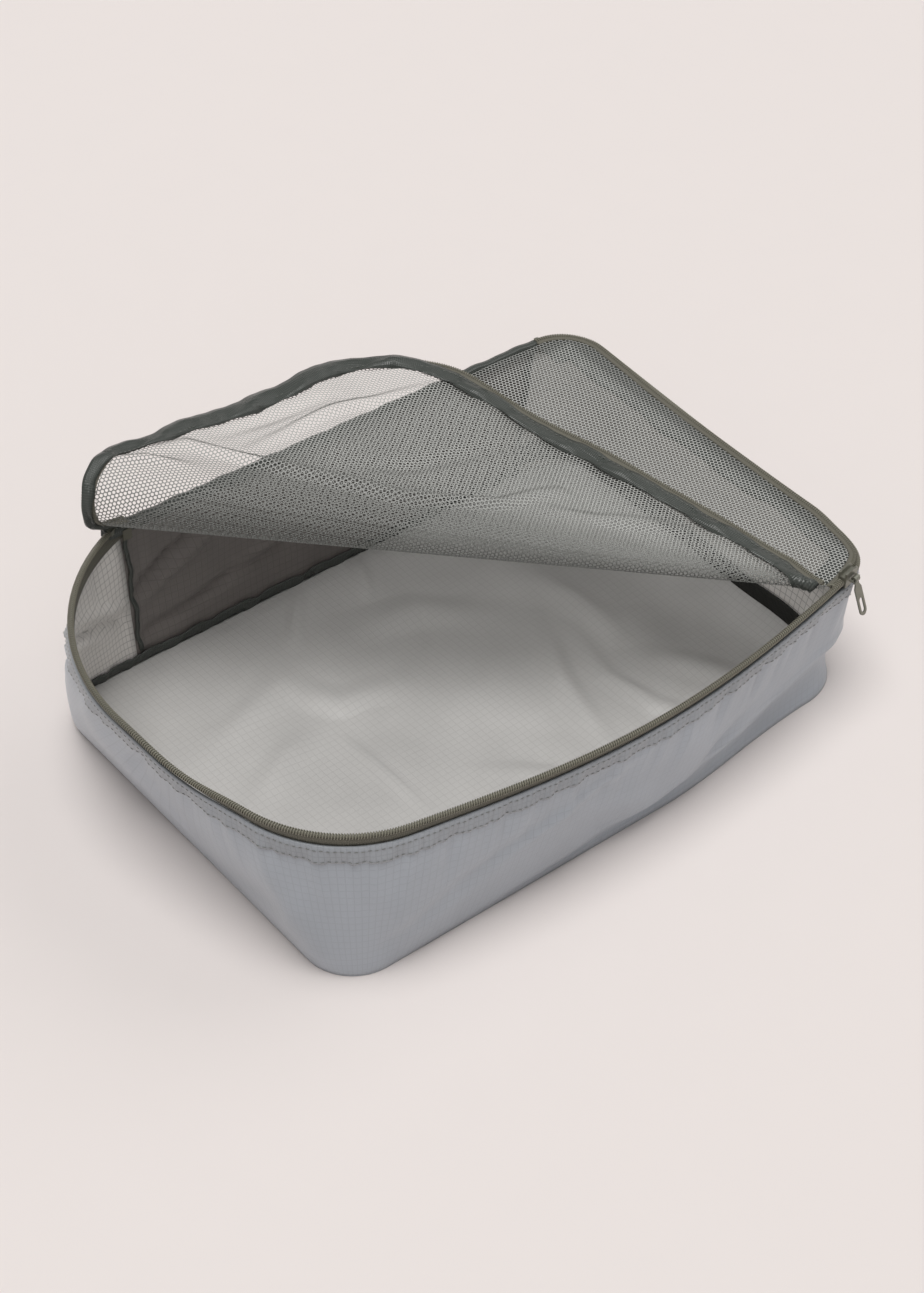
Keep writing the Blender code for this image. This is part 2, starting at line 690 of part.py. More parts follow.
def main():
    clear_scene()
    build_base()
    build_walls()
    build_tray_bindings()
    build_tray_zip()
    build_lid()
    build_fold_strips()
    build_flap()
    build_slider()
    build_bail()
    build_pull_tab()


main()
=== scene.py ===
"""Looks of the packing cube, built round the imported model. Metres, +Z up."""

import math

import bpy
import numpy as np
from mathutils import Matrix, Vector


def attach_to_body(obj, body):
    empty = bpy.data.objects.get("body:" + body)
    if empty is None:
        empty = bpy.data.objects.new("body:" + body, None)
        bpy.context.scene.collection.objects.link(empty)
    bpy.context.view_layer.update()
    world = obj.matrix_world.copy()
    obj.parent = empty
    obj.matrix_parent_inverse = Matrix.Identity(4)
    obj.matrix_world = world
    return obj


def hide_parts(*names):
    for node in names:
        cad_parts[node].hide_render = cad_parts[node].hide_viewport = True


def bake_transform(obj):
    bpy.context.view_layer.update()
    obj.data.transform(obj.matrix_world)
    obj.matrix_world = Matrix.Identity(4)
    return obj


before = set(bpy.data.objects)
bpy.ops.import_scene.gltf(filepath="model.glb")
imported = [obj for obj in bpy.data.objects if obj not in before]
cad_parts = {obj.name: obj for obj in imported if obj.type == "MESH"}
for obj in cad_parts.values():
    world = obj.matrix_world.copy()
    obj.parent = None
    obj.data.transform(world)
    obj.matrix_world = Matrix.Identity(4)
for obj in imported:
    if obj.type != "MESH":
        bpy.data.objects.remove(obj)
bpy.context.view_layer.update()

# ---- the part's own lines
RIM_RIGHT, RIM_BACK = 0.200, 0.139
RIM_HIGH, RIM_SLOPE = 0.0969, (-0.0345, 0.0154)
FRONT_BOW = (-0.016, 0.6137, 0.7748)        # centre and radius of the bowed sides
LEFT_BOW = (0.2521, 0.0269, 0.4768)
CORNER_A, CORNER_B = 0.1408, 0.079
CORNER_C = CORNER_D = 0.030
BACK_LEFT_X = -0.136
BASE_LEFT, BASE_RIGHT = -0.190, 0.181
BASE_FRONT, BASE_BACK = -0.1435, 0.1395
BASE_CORNER = 0.030
BASE_SEAM_X = -0.131
APEX = np.array((0.1730, -0.1615))          # where the rulings of the lid's fold meet
LID_LIFT = 0.0030
HINGE_Y = 0.1385
FLAP_LEFT, FLAP_FRONT, FLAP_CORNER, FLAP_ROUND = -0.1875, -0.151, 0.056, 0.068

FOLD_MIDDLE = math.radians(50.0)
FOLD_HALF = math.radians(7.3)               # half the flat angle that the fold takes up
FOLD_TURN = math.radians(191.8)             # how far the cloth turns in it
FLAP_CURL = -0.29                           # slow turn of the flap beyond the fold
PIECE_EDGES = (45.2, 48.4, 51.6, 54.8)      # rulings where one piece of the lid ends and the next starts

NET_PITCH = 0.00240
NET_OPEN = 0.75                             # size of a hole as a share of its cell

CORNER_STEPS, LONG_STEPS, SHORT_STEPS = 18, 90, 54


def rim_z(x, y):
    """Height of the rim's sloping plane."""
    return RIM_HIGH + RIM_SLOPE[0] * (x - RIM_RIGHT) + RIM_SLOPE[1] * (y - RIM_BACK)


def arc(centre, radius, start, end, steps):
    """Points of an arc between two angles in degrees, without its end."""
    angles = np.radians(start + (end - start) * np.arange(steps) / steps)
    return np.column_stack([centre[0] + radius * np.cos(angles), centre[1] + radius * np.sin(angles)])


def line(start, end, steps):
    share = np.arange(steps)[:, None] / steps
    return np.array(start) * (1 - share) + np.array(end) * share


def bearing(centre, point):
    return math.degrees(math.atan2(point[1] - centre[1], point[0] - centre[0])) % 360


def circles_meet(first, first_radius, second, second_radius):
    """The meeting point of two circles on the left of the way from the first to the second."""
    first, second = Vector(first), Vector(second)
    between = second - first
    along = (first_radius ** 2 - second_radius ** 2 + between.length ** 2) / (2 * between.length)
    aside = math.sqrt(first_radius ** 2 - along ** 2)
    way = between.normalized()
    return tuple(first + way * along + Vector((-way.y, way.x)) * aside)


def rim_corners():
    """Centres of the rim's four rounded corners."""
    left, left_r, front_r = LEFT_BOW[:2], LEFT_BOW[2], FRONT_BOW[2]
    a = circles_meet(left, left_r - CORNER_A, (BACK_LEFT_X, RIM_BACK), CORNER_A)
    b = circles_meet(left, left_r - CORNER_B, FRONT_BOW[:2], front_r - CORNER_B)
    c_x = RIM_RIGHT - CORNER_C
    c_y = FRONT_BOW[1] - math.sqrt((front_r - CORNER_C) ** 2 - (c_x - FRONT_BOW[0]) ** 2)
    return a, b, (c_x, c_y), (RIM_RIGHT - CORNER_D, RIM_BACK - CORNER_D)


def outlines():
    """Rim and base outlines in step, and the index at which each side or corner starts."""
    a, b, c, d = rim_corners()
    front, left = FRONT_BOW[:2], LEFT_BOW[:2]
    n, m, k = CORNER_STEPS, LONG_STEPS, SHORT_STEPS
    r = BASE_CORNER
    seam = bearing(a, (BACK_LEFT_X, RIM_BACK))
    rim = [arc(a, CORNER_A, seam, bearing(left, a), n + 3),
           arc(left, LEFT_BOW[2], bearing(left, a), bearing(left, b), k),
           arc(b, CORNER_B, bearing(left, b), bearing(front, b), n),
           arc(front, FRONT_BOW[2], bearing(front, b), bearing(front, c), m),
           arc(c, CORNER_C, bearing(front, c), 360, n),
           line((RIM_RIGHT, c[1]), (RIM_RIGHT, d[1]), k), arc(d, CORNER_D, 0, 90, n),
           line((d[0], RIM_BACK), (BACK_LEFT_X, RIM_BACK), m)]
    x0, x1, y0, y1 = BASE_LEFT, BASE_RIGHT, BASE_FRONT, BASE_BACK
    base = [line((BASE_SEAM_X, y1), (x0 + r, y1), 7), arc((x0 + r, y1 - r), r, 90, 180, n - 4),
            line((x0, y1 - r), (x0, y0 + r), k), arc((x0 + r, y0 + r), r, 180, 270, n),
            line((x0 + r, y0), (x1 - r, y0), m), arc((x1 - r, y0 + r), r, 270, 360, n),
            line((x1, y0 + r), (x1, y1 - r), k), arc((x1 - r, y1 - r), r, 0, 90, n),
            line((x1 - r, y1), (BASE_SEAM_X, y1), m)]
    starts = np.cumsum([0] + [len(part) for part in rim])
    return np.vstack(rim), np.vstack(base), starts


def outward(points):
    """Unit directions out of a closed ring of points."""
    along = np.roll(points, -1, 0) - np.roll(points, 1, 0)
    along /= np.linalg.norm(along, axis=1)[:, None]
    return np.column_stack([along[:, 1], -along[:, 0]])


RIM, BASE, STARTS = outlines()
RING = len(RIM)
(I_START, I_LEFT, I_B, I_FRONT, I_C, I_RIGHT, I_D, I_BACK, I_END) = STARTS
RIM_OUT = outward(RIM)
RIM_RUN = np.concatenate([[0], np.cumsum(np.linalg.norm(np.diff(RIM, axis=0), axis=1))])
RING_RUN = np.append(RIM_RUN, RIM_RUN[-1] + np.linalg.norm(RIM[0] - RIM[-1]))
B_RUN = RIM_RUN[(I_B + I_FRONT) // 2]      # middle of the front left corner
C_RUN = RIM_RUN[(I_C + I_RIGHT) // 2]      # middle of the front right corner


def bump(value, middle, half):
    """1 at the middle, falling smoothly to 0 at half a width either side."""
    share = np.clip(1 - np.abs((value - middle) / half), 0, 1)
    return share * share * (3 - 2 * share)


def ridge(x, y, path, size, wide):
    """A soft ridge or valley along a path of points, fading at both ends."""
    path = np.array(path)
    lengths = np.linalg.norm(np.diff(path, axis=0), axis=1)
    nearest = np.full(np.shape(x), 1e9)
    along = np.zeros(np.shape(x))
    for k, length in enumerate(lengths):
        way = (path[k + 1] - path[k]) / length
        run = np.clip((x - path[k, 0]) * way[0] + (y - path[k, 1]) * way[1], 0, length)
        off = np.hypot(x - path[k, 0] - run * way[0], y - path[k, 1] - run * way[1])
        closer = off < nearest
        nearest = np.where(closer, off, nearest)
        along = np.where(closer, (lengths[:k].sum() + run) / lengths.sum(), along)
    return size * bump(nearest, 0.0, wide) * bump(along, 0.5, 0.75)


def ripple(value, *waves):
    """A sum of fixed sine waves, each (wavelength, amplitude, phase)."""
    return sum(size * np.sin(2 * np.pi * value / length + phase) for length, size, phase in waves)


def rim_sag():
    """The bowed sides hang a little between the corners."""
    index = np.arange(RING)
    front = np.sin(np.pi * np.clip((index - I_FRONT) / (I_C - I_FRONT), 0, 1)) ** 2
    left = np.sin(np.pi * np.clip((index - I_LEFT) / (I_B - I_LEFT), 0, 1)) ** 2
    return 0.0052 * front + 0.0040 * left


def pulled_in():
    """The rim's right side hangs inside its line, and the base stands wider there and draws in at C."""
    side_run = (C_RUN + RIM_RUN[I_D]) / 2
    rim = 0.0045 * bump(RIM_RUN, C_RUN + 0.012, 0.034) + 0.0035 * bump(RIM_RUN, side_run, 0.160)
    front = bump(RIM_RUN, C_RUN - 0.012, 0.130)[:, None] * np.array((0.0, 0.0120))
    side = np.clip((BASE[:, 0] - 0.100) / 0.080, 0, 1)[:, None] * np.array((0.0090, 0.0))
    return RIM - RIM_OUT * rim[:, None], BASE + front + side


RIM_SEEN, BASE = pulled_in()
BASE_OUT = outward(BASE)
RIM3 = np.column_stack([RIM_SEEN, rim_z(RIM[:, 0], RIM[:, 1]) - rim_sag()])


def take(values, places):
    """Values at fractional places of the ring."""
    low = np.floor(places).astype(int)
    share = places - low
    share = share.reshape(share.shape + (1,) * (values.ndim - 1))
    return values[low % RING] * (1 - share) + values[(low + 1) % RING] * share


def with_height(flat):
    """Flat points or directions with a height of nought."""
    return np.concatenate([flat, np.zeros((*flat.shape[:-1], 1))], -1)


# ---- mesh helpers

def make_mesh(name, points, faces, uv=None, smooth=True):
    """A mesh object from arrays; every face has the same number of corners."""
    points = np.asarray(points, float).reshape(-1, 3)
    faces = np.asarray(faces, np.int64)
    mesh = bpy.data.meshes.new(name)
    mesh.vertices.add(len(points))
    mesh.vertices.foreach_set("co", points.ravel())
    mesh.loops.add(faces.size)
    mesh.loops.foreach_set("vertex_index", faces.ravel())
    mesh.polygons.add(len(faces))
    mesh.polygons.foreach_set("loop_start", np.arange(len(faces)) * faces.shape[1])
    mesh.update(calc_edges=True)
    if uv is None:
        uv = np.zeros((len(points), 2))
    layer = mesh.uv_layers.new(name="UVMap")
    layer.data.foreach_set("uv", np.asarray(uv, float).reshape(-1, 2)[faces.ravel()].ravel())
    mesh.validate()
    if smooth:
        mesh.shade_smooth()
    item = bpy.data.objects.new(name, mesh)
    bpy.context.scene.collection.objects.link(item)
    return item


def grid(name, points, uv, thickness):
    """A sheet of cloth from a (rows, columns, 3) array."""
    rows, columns = points.shape[:2]
    i, j = np.meshgrid(np.arange(rows - 1) * columns, np.arange(columns - 1), indexing="ij")
    k = i + columns
    item = make_mesh(name, points, np.stack([i + j, k + j, k + j + 1, i + j + 1], -1).reshape(-1, 4), uv)
    thicken(item, thickness)
    return item


def thicken(item, thickness):
    """Thickness of a cloth, half on each side of it."""
    shell = item.modifiers.new("thickness", "SOLIDIFY")
    shell.thickness = thickness
    shell.offset = 0.0


def resample(path, step):
    """Parameters of a path of points at an even spacing, for np.interp."""
    run = np.concatenate([[0], np.cumsum(np.linalg.norm(np.diff(path, axis=0), axis=1))])
    count = max(int(run[-1] / step), 2)
    return run, np.linspace(0, run[-1], count)


def along_path(run, wanted, values):
    return np.column_stack([np.interp(wanted, run, values[:, k]) for k in range(values.shape[1])])


def unit(vectors):
    return vectors / np.linalg.norm(vectors, axis=-1)[..., None]


def strip_uv(run, across):
    """Texture coordinates of a strip: the run along it and the distance across it."""
    return np.stack(np.meshgrid(run, across, indexing="ij"), -1)


def tube_faces(rows, sides):
    """Quads between rows of points that go round a tube."""
    i, j = np.meshgrid(np.arange(rows - 1) * sides, np.arange(sides), indexing="ij")
    k = (j + 1) % sides
    return np.stack([i + j, i + k, i + sides + k, i + sides + j], -1).reshape(-1, 4)


def coil(name, path, side, up, radius=0.00115, wire=0.00036, pitch=0.00150, turns_per=8):
    """A zip's nylon coil: one wire wound round the path."""
    run, wanted = resample(path, pitch / turns_per)
    centre = along_path(run, wanted, path)
    side = unit(along_path(run, wanted, side))
    up = unit(along_path(run, wanted, up))
    turn = 2 * np.pi * wanted / pitch
    radial = side * np.cos(turn)[:, None] * 1.12 + up * np.sin(turn)[:, None]
    middle = centre + radial * radius
    tangent = unit(np.gradient(middle, axis=0))
    across = unit(np.cross(tangent, radial))
    out = unit(np.cross(across, tangent))
    points = np.stack([middle + out * wire, middle + across * wire,
                       middle - out * wire, middle - across * wire], 1)
    end = (len(points) - 1) * 4
    caps = [(3, 2, 1, 0), (end, end + 1, end + 2, end + 3)]
    return make_mesh(name, points, np.vstack([tube_faces(len(points), 4), caps]))


def tube(name, path, side, up, radius, sides=6):
    """A plain round tube on a path."""
    turns = 2 * np.pi * np.arange(sides) / sides
    side, up = unit(side), unit(up)
    points = path[:, None] + radius * (side[:, None] * np.cos(turns)[None, :, None]
                                       + up[:, None] * np.sin(turns)[None, :, None])
    return make_mesh(name, points, tube_faces(len(path), sides))


# a stitch: corners as shares of its length, width and height, and the faces between them
STITCH_CORNERS = ((-0.5, 0, 0), (-0.3, 0.5, 0), (0.3, 0.5, 0), (0.5, 0, 0), (0.3, -0.5, 0), (-0.3, -0.5, 0),
                  (-0.25, 0, 1), (0.25, 0, 1))
STITCH_FACES = ((0, 1, 6), (1, 2, 7), (1, 7, 6), (2, 3, 7), (3, 4, 7), (4, 5, 6), (4, 6, 7), (5, 0, 6),
                (0, 5, 1), (1, 5, 4), (1, 4, 2), (2, 4, 3))


def stitches(name, path, up, length=0.0022, gap=0.0014, width=0.00045, high=0.00025):
    """A row of sewn stitches: small raised lozenges on a path."""
    run, wanted = resample(path, length + gap)
    wanted = wanted[:-1] + (length + gap) / 2
    middle = along_path(run, wanted, path)
    up = unit(along_path(run, wanted, up))
    ahead = unit(along_path(run, wanted + length / 2, path) - along_path(run, wanted - length / 2, path))
    across = unit(np.cross(ahead, up))
    corners = [middle + ahead * (a * length) + across * (b * width) + up * (c * high)
               for a, b, c in STITCH_CORNERS]
    starts = np.arange(len(middle)) * len(corners)
    faces = starts[:, None, None] + np.array(STITCH_FACES)
    return make_mesh(name, np.stack(corners, 1), faces.reshape(-1, 3), smooth=False)


def joined(name, items):
    """One object from several, each keeping its own material."""
    bpy.ops.object.select_all(action="DESELECT")
    for item in items:
        item.select_set(True)
        bpy.context.view_layer.objects.active = item
        for change in list(item.modifiers):
            bpy.ops.object.modifier_apply(modifier=change.name)
    bpy.context.view_layer.objects.active = items[0]
    bpy.ops.object.join()
    items[0].name = name
    items[0].data.name = name
    return items[0]


# ---- materials

class Nodes:
    """Short calls for building a node material."""

    def __init__(self, name, roughness, metallic=0.0, sheen=0.0, specular=0.5):
        self.material = bpy.data.materials.new(name)
        self.material.use_nodes = True
        self.tree = self.material.node_tree
        self.shader = self.tree.nodes["Principled BSDF"]
        self.feed(self.shader, {"Roughness": roughness, "Metallic": metallic, "Sheen Weight": sheen,
                                "Sheen Roughness": 0.4, "Specular IOR Level": specular})

    def feed(self, node, values):
        """Set inputs of a node, or link them to the outputs of others."""
        for key, value in values.items():
            if isinstance(value, bpy.types.NodeSocket):
                self.tree.links.new(value, node.inputs[key])
            else:
                node.inputs[key].default_value = value

    def add(self, kind, values):
        made = self.tree.nodes.new(kind)
        self.feed(made, values)
        return made

    def math(self, operation, first, second=0.5):
        made = self.add("ShaderNodeMath", {0: first, 1: second})
        made.operation = operation
        return made.outputs[0]

    def uv(self):
        made = self.tree.nodes.new("ShaderNodeUVMap")
        made.uv_map = "UVMap"
        parts = self.add("ShaderNodeSeparateXYZ", {0: made.outputs[0]})
        return parts.outputs[0], parts.outputs[1]

    def line(self, value, pitch, width):
        """1 on thin lines that repeat at the pitch, 0 between them."""
        share = self.math("FRACT", self.math("DIVIDE", value, pitch))
        off = self.math("ABSOLUTE", self.math("SUBTRACT", share, 0.5))
        ramp = self.add("ShaderNodeMapRange", {"Value": off, "From Min": 0.5 - width / pitch,
                                               "From Max": 0.5})
        ramp.interpolation_type = "SMOOTHSTEP"
        return ramp.outputs[0]

    def noise(self, scale, detail=2.0):
        place = self.tree.nodes.new("ShaderNodeTexCoord").outputs["Object"]
        made = self.add("ShaderNodeTexNoise", {"Scale": scale, "Detail": detail, "Vector": place})
        return made.outputs["Fac"]

    def mix(self, share, first, second):
        made = self.tree.nodes.new("ShaderNodeMix")
        made.data_type = "RGBA"
        first, second = [value if isinstance(value, bpy.types.NodeSocket) else (*value, 1.0)
                         for value in (first, second)]
        self.feed(made, {"Factor": share, "A": first, "B": second})
        return made.outputs["Result"]

    def colour(self, socket):
        self.feed(self.shader, {"Base Color": socket})

    def bump(self, height, strength, distance):
        made = self.add("ShaderNodeBump", {"Strength": strength, "Distance": distance, "Height": height})
        self.feed(self.shader, {"Normal": made.outputs[0]})

    def roughness(self, share, low, high):
        ramp = self.add("ShaderNodeMapRange", {"To Min": low, "To Max": high, "Value": share})
        self.feed(self.shader, {"Roughness": ramp.outputs[0]})


def scaled(tone, share):
    return [channel * share for channel in tone]


def ripstop(name, tone, line_tone, pitch=0.0046, roughness=0.46, grid_share=0.30):
    """Woven nylon with a reinforcing grid, a fine weave and a cloudy tone, which is partly random tone
    change and partly painted sheen and fold shade.
    """
    made = Nodes(name, roughness, sheen=0.15, specular=0.45)
    u, v = made.uv()
    lines = made.math("MAXIMUM", made.line(u, pitch, 0.00042), made.line(v, pitch, 0.00042))
    weave = made.math("MAXIMUM", made.line(u, 0.0008, 0.0004), made.line(v, 0.0008, 0.0004))
    cloudy = made.noise(14.0, 3.0)
    fine = made.noise(420.0, 2.0)
    # painted sheen and shade: the cloudy mix of lighter and darker tone stands in for satin sheen streaks
    # and soft fold shading, besides the cloth's random tone change
    ground = made.mix(cloudy, scaled(tone, 0.78), scaled(tone, 1.16))
    ground = made.mix(made.math("MULTIPLY", weave, 0.10), ground, line_tone)
    made.colour(made.mix(made.math("MULTIPLY", lines, grid_share), ground, line_tone))
    height = made.math("ADD", made.math("MULTIPLY", lines, 0.7), made.math("MULTIPLY", fine, 0.5))
    made.bump(made.math("ADD", height, made.math("MULTIPLY", weave, 0.15)), 0.30, 0.0003)
    made.roughness(cloudy, roughness - 0.08, roughness + 0.10)
    return made.material


def tape_cloth(name, tone, light, pitch=0.0013, roughness=0.6, sheen=0.3):
    """Woven tape: lighter ribs across its length and fine rows along it."""
    made = Nodes(name, roughness, sheen=sheen)
    u, v = made.uv()
    ribs = made.line(u, pitch, pitch * 0.5)
    rows = made.line(v, 0.0009, 0.00045)
    cloudy = made.noise(60.0, 3.0)
    ground = made.mix(cloudy, scaled(tone, 0.85), scaled(tone, 1.15))
    made.colour(made.mix(made.math("MULTIPLY", ribs, 0.35), ground, light))
    made.bump(made.math("ADD", ribs, made.math("MULTIPLY", rows, 0.6)), 0.45, 0.0003)
    made.roughness(cloudy, roughness - 0.1, roughness + 0.1)
    return made.material


def thread(name, tone, roughness=0.55, sheen=0.3, metallic=0.0, scale=900.0):
    """Thread, moulded nylon or painted metal: fine grain and slight colour change."""
    made = Nodes(name, roughness, metallic=metallic, sheen=sheen)
    grain = made.noise(scale, 2.0)
    made.colour(made.mix(grain, scaled(tone, 0.82), scaled(tone, 1.18)))
    made.bump(grain, 0.25, 0.0002)
    made.roughness(grain, max(roughness - 0.08, 0.05), roughness + 0.08)
    return made.material


def yarn(name, middle, edge):
    """Knitted yarn: pale along its middle and painted dark at its sides as the shade on a round yarn, and
    letting a little light through.
    """
    made = Nodes(name, 0.42, sheen=0.2)
    # painted shade: the attribute blends the pale colour into the dark one at the yarn's sides, on the
    # rolled fold and along the closed lid's right and back border
    side = made.tree.nodes.new("ShaderNodeAttribute")
    side.attribute_name = "yarn_painted_shade"
    ground = made.mix(side.outputs["Fac"], middle, edge)
    grain = made.noise(1600.0, 2.0)
    colour = made.mix(made.math("MULTIPLY", grain, 0.25), ground, edge)
    made.colour(colour)
    made.bump(grain, 0.25, 0.0002)
    through = made.add("ShaderNodeBsdfTranslucent", {"Color": colour})
    both = made.add("ShaderNodeMixShader", {"Fac": 0.05, 1: made.shader.outputs[0], 2: through.outputs[0]})
    made.feed(made.tree.nodes["Material Output"], {"Surface": both.outputs[0]})
    return made.material


OUTER = ripstop("wall_ripstop", (0.437, 0.473, 0.522), (0.28, 0.30, 0.33), roughness=0.38)
HEM = ripstop("hem_ripstop", (0.350, 0.370, 0.398), (0.17, 0.18, 0.195), pitch=0.0030, roughness=0.42)
# the inside's own pale tone, brightened further as painted light that stands in for light coming through
# the thin cloth
INNER = ripstop("wall_inside", (0.930, 0.900, 0.870), (0.20, 0.19, 0.18), grid_share=0.60)
FLOOR_CLOTH = ripstop("floor_ripstop", (0.520, 0.512, 0.500), (0.33, 0.325, 0.315),
                      pitch=0.0042, roughness=0.40)
DARK_CLOTH = ripstop("back_ripstop", (0.200, 0.180, 0.170), (0.08, 0.07, 0.065))
BINDING = tape_cloth("satin_binding", (0.046, 0.052, 0.046), (0.085, 0.094, 0.085),
                     roughness=0.30, sheen=0.05)
BLACK_TAPE = tape_cloth("black_tape", (0.014, 0.014, 0.012), (0.024, 0.024, 0.021),
                        roughness=0.8, sheen=0.0)
ZIP_TAPE = tape_cloth("zip_tape_weave", (0.125, 0.118, 0.092), (0.20, 0.192, 0.155),
                      roughness=0.75, sheen=0.1)
COIL = thread("zip_coil_nylon", (0.215, 0.205, 0.160), roughness=0.42, sheen=0.0)
# net yarn: a pale colour, and a dark colour that is painted shade
NET = yarn("net_yarn", (0.800, 0.806, 0.775), (0.165, 0.168, 0.157))
STITCH = thread("stitch_thread", (0.200, 0.205, 0.185), roughness=0.5)
METAL = thread("slider_paint", (0.230, 0.228, 0.190), roughness=0.34, metallic=0.65, sheen=0.0, scale=350.0)


def dress(item, finish, body=None, stands_for=()):
    """Give a piece its material in one slot and its body, and hide the model's nodes it stands for."""
    item.data.materials.clear()
    item.data.materials.append(finish)
    if stands_for:
        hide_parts(*stands_for)
    if body:
        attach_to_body(item, body)
    return item


# ---- tray walls

WALL_TALL = 0.098       # height of the flat wall, from the base seam to the top of the hem


def wall_push(run, t):
    """How far the wall stands out from a straight line between its foot and the rim."""
    # it swells, less where it is taut, and has soft waves and gathers
    arch = np.sin(np.pi * np.clip(t, 0, 1))
    taut = np.clip((run - C_RUN + 0.16) / 0.12, 0, 1)
    taut = taut * (1 - 0.5 * np.clip((run - C_RUN - 0.20) / 0.05, 0, 1))
    swell = 0.0045 * arch ** 0.8 * (1 - 0.85 * taut) * np.clip(0.2 + run / 0.14, 0.2, 1)
    soft = ripple(run + 0.05 * t, (0.093, 0.0009, 0.4), (0.151, 0.0011, 2.1), (0.047, 0.0004, 5.0))
    gathers = ripple(run, (0.0105, 0.00040, 0.0), (0.0171, 0.00050, 1.3), (0.031, 0.0006, 2.0))
    push = swell + soft * arch + gathers * bump(t, 0.78, 0.40)

    # towards the front right corner it tucks under, below a crease that slants to the floor
    crease = np.interp(run, [C_RUN - 0.300, C_RUN - 0.100, C_RUN + 0.010, C_RUN + 0.080],
                       [0.06, 0.26, 0.46, 0.40])
    below = np.sin(np.pi * np.clip(t / crease, 0, 1))
    push = push - (0.0034 * bump(run, C_RUN - 0.08, 0.280) + 0.0014 * bump(run, C_RUN, 0.090)) * below
    push = push + 0.0014 * bump(t, crease, 0.07) * bump(run, C_RUN - 0.06, 0.280)

    for from_run, folds in ((B_RUN, WALL_FOLDS), (RING_RUN[-1], BACK_FOLDS)):
        for start, lean, high, tall, wide, size in folds:
            where = from_run + start + lean * (t - high)
            push = push + size * bump(run - where, 0.0, wide) * bump(t, high, tall)

    # it is held at its foot, at the zip tape and at the back seams
    seam = np.minimum(np.abs(run - RIM_RUN[I_BACK]), np.minimum(run, RING_RUN[-1] - run))
    top = np.clip((t - 0.84) / 0.08, 0, 1)
    return (push * np.clip(t / 0.04, 0, 1) * (1 - top) + 0.0010 * top) * np.clip(seam / 0.012, 0, 1)


def wall_surface(places, shares, depth):
    """Points of the cloth wall at places round the ring and shares of its height, sunk by a depth."""
    run, t = np.interp(places, np.arange(RING + 1), RING_RUN), shares[..., None]
    out = unit(take(RIM_OUT, places) * t + take(BASE_OUT, places) * (1 - t))
    points = with_height(take(BASE, places)) * (1 - t) + take(RIM3, places) * t
    points[..., :2] += (wall_push(run, shares) - depth)[..., None] * out
    return points


def wall_grid(places, shares, depth):
    """The wall's points over a grid of places and shares, with their texture coordinates."""
    places, shares = np.meshgrid(places, shares, indexing="ij")
    run = np.interp(places, np.arange(RING + 1), RING_RUN)
    return wall_surface(places, shares, depth), np.stack([run, shares * 0.1], -1)


# slack folds: run from corner B, lean, height share, its half height, half width, depth
WALL_FOLDS = (
    (0.205, -0.10, 0.35, 0.35, 0.030, 0.0030),
    (0.275, 0.12, 0.30, 0.32, 0.022, -0.0028),
    (0.090, 0.20, 0.45, 0.40, 0.026, -0.0022),
    (0.045, -0.06, 0.40, 0.45, 0.018, 0.0018),
    (0.150, 0.30, 0.62, 0.30, 0.016, 0.0016),
    (-0.130, -0.10, 0.55, 0.40, 0.030, 0.0026),
    (-0.055, 0.08, 0.35, 0.40, 0.020, -0.0018),
    (-0.230, 0.20, 0.56, 0.34, 0.016, -0.0042),
    (-0.262, 0.30, 0.50, 0.34, 0.011, 0.0042),
    (-0.290, 0.24, 0.52, 0.34, 0.013, -0.0040),
)
# folds of the back wall, their run from the left seam
BACK_FOLDS = (
    (-0.026, -0.17, 0.60, 0.36, 0.009, 0.0052),
    (-0.044, -0.17, 0.60, 0.36, 0.012, -0.0052),
    (-0.050, -0.60, 0.24, 0.16, 0.040, 0.0044),
    (-0.090, 0.16, 0.62, 0.36, 0.014, 0.0050),
    (-0.128, -0.20, 0.50, 0.38, 0.017, -0.0054),
    (-0.180, 0.14, 0.50, 0.42, 0.020, 0.0046),
)


def build_wall(name, first, last, finish, inside, node, top, thickness):
    """A stretch of the wall up to a share of its height, with another look inside where given."""
    places = np.arange(first, last + 0.001, 1.0)
    shares = np.concatenate([np.linspace(0, 0.06, 3)[:-1], np.linspace(0.06, top, 26)])
    points, uv = wall_grid(places, shares, thickness / 2)
    wall = grid(name, points, uv, thickness)
    dress(wall, finish, "tray", (node,))
    if inside:
        wall.data.materials.append(inside)
        wall.modifiers["thickness"].material_offset = 1


build_wall("wall_cloth", I_START, I_BACK, OUTER, INNER, "gusset", 0.932, 0.0011)
build_wall("back_wall_cloth", I_BACK, I_END, DARK_CLOTH, None, "back_wall", 0.975, 0.0009)


def base_height(x, y):
    """Soft folds of the base, in metres over the floor."""
    height = 0.0019 + ripple(x * 0.8 + y * 0.6, (0.11, 0.0006, 0.3), (0.067, 0.0003, 1.9))
    height += ripple(y * 0.9 - x * 0.5, (0.13, 0.0006, 2.2), (0.059, 0.0003, 0.1))
    for path, size, wide in FLOOR_FOLDS:
        height = height + ridge(x, y, path, size, wide)
    return height


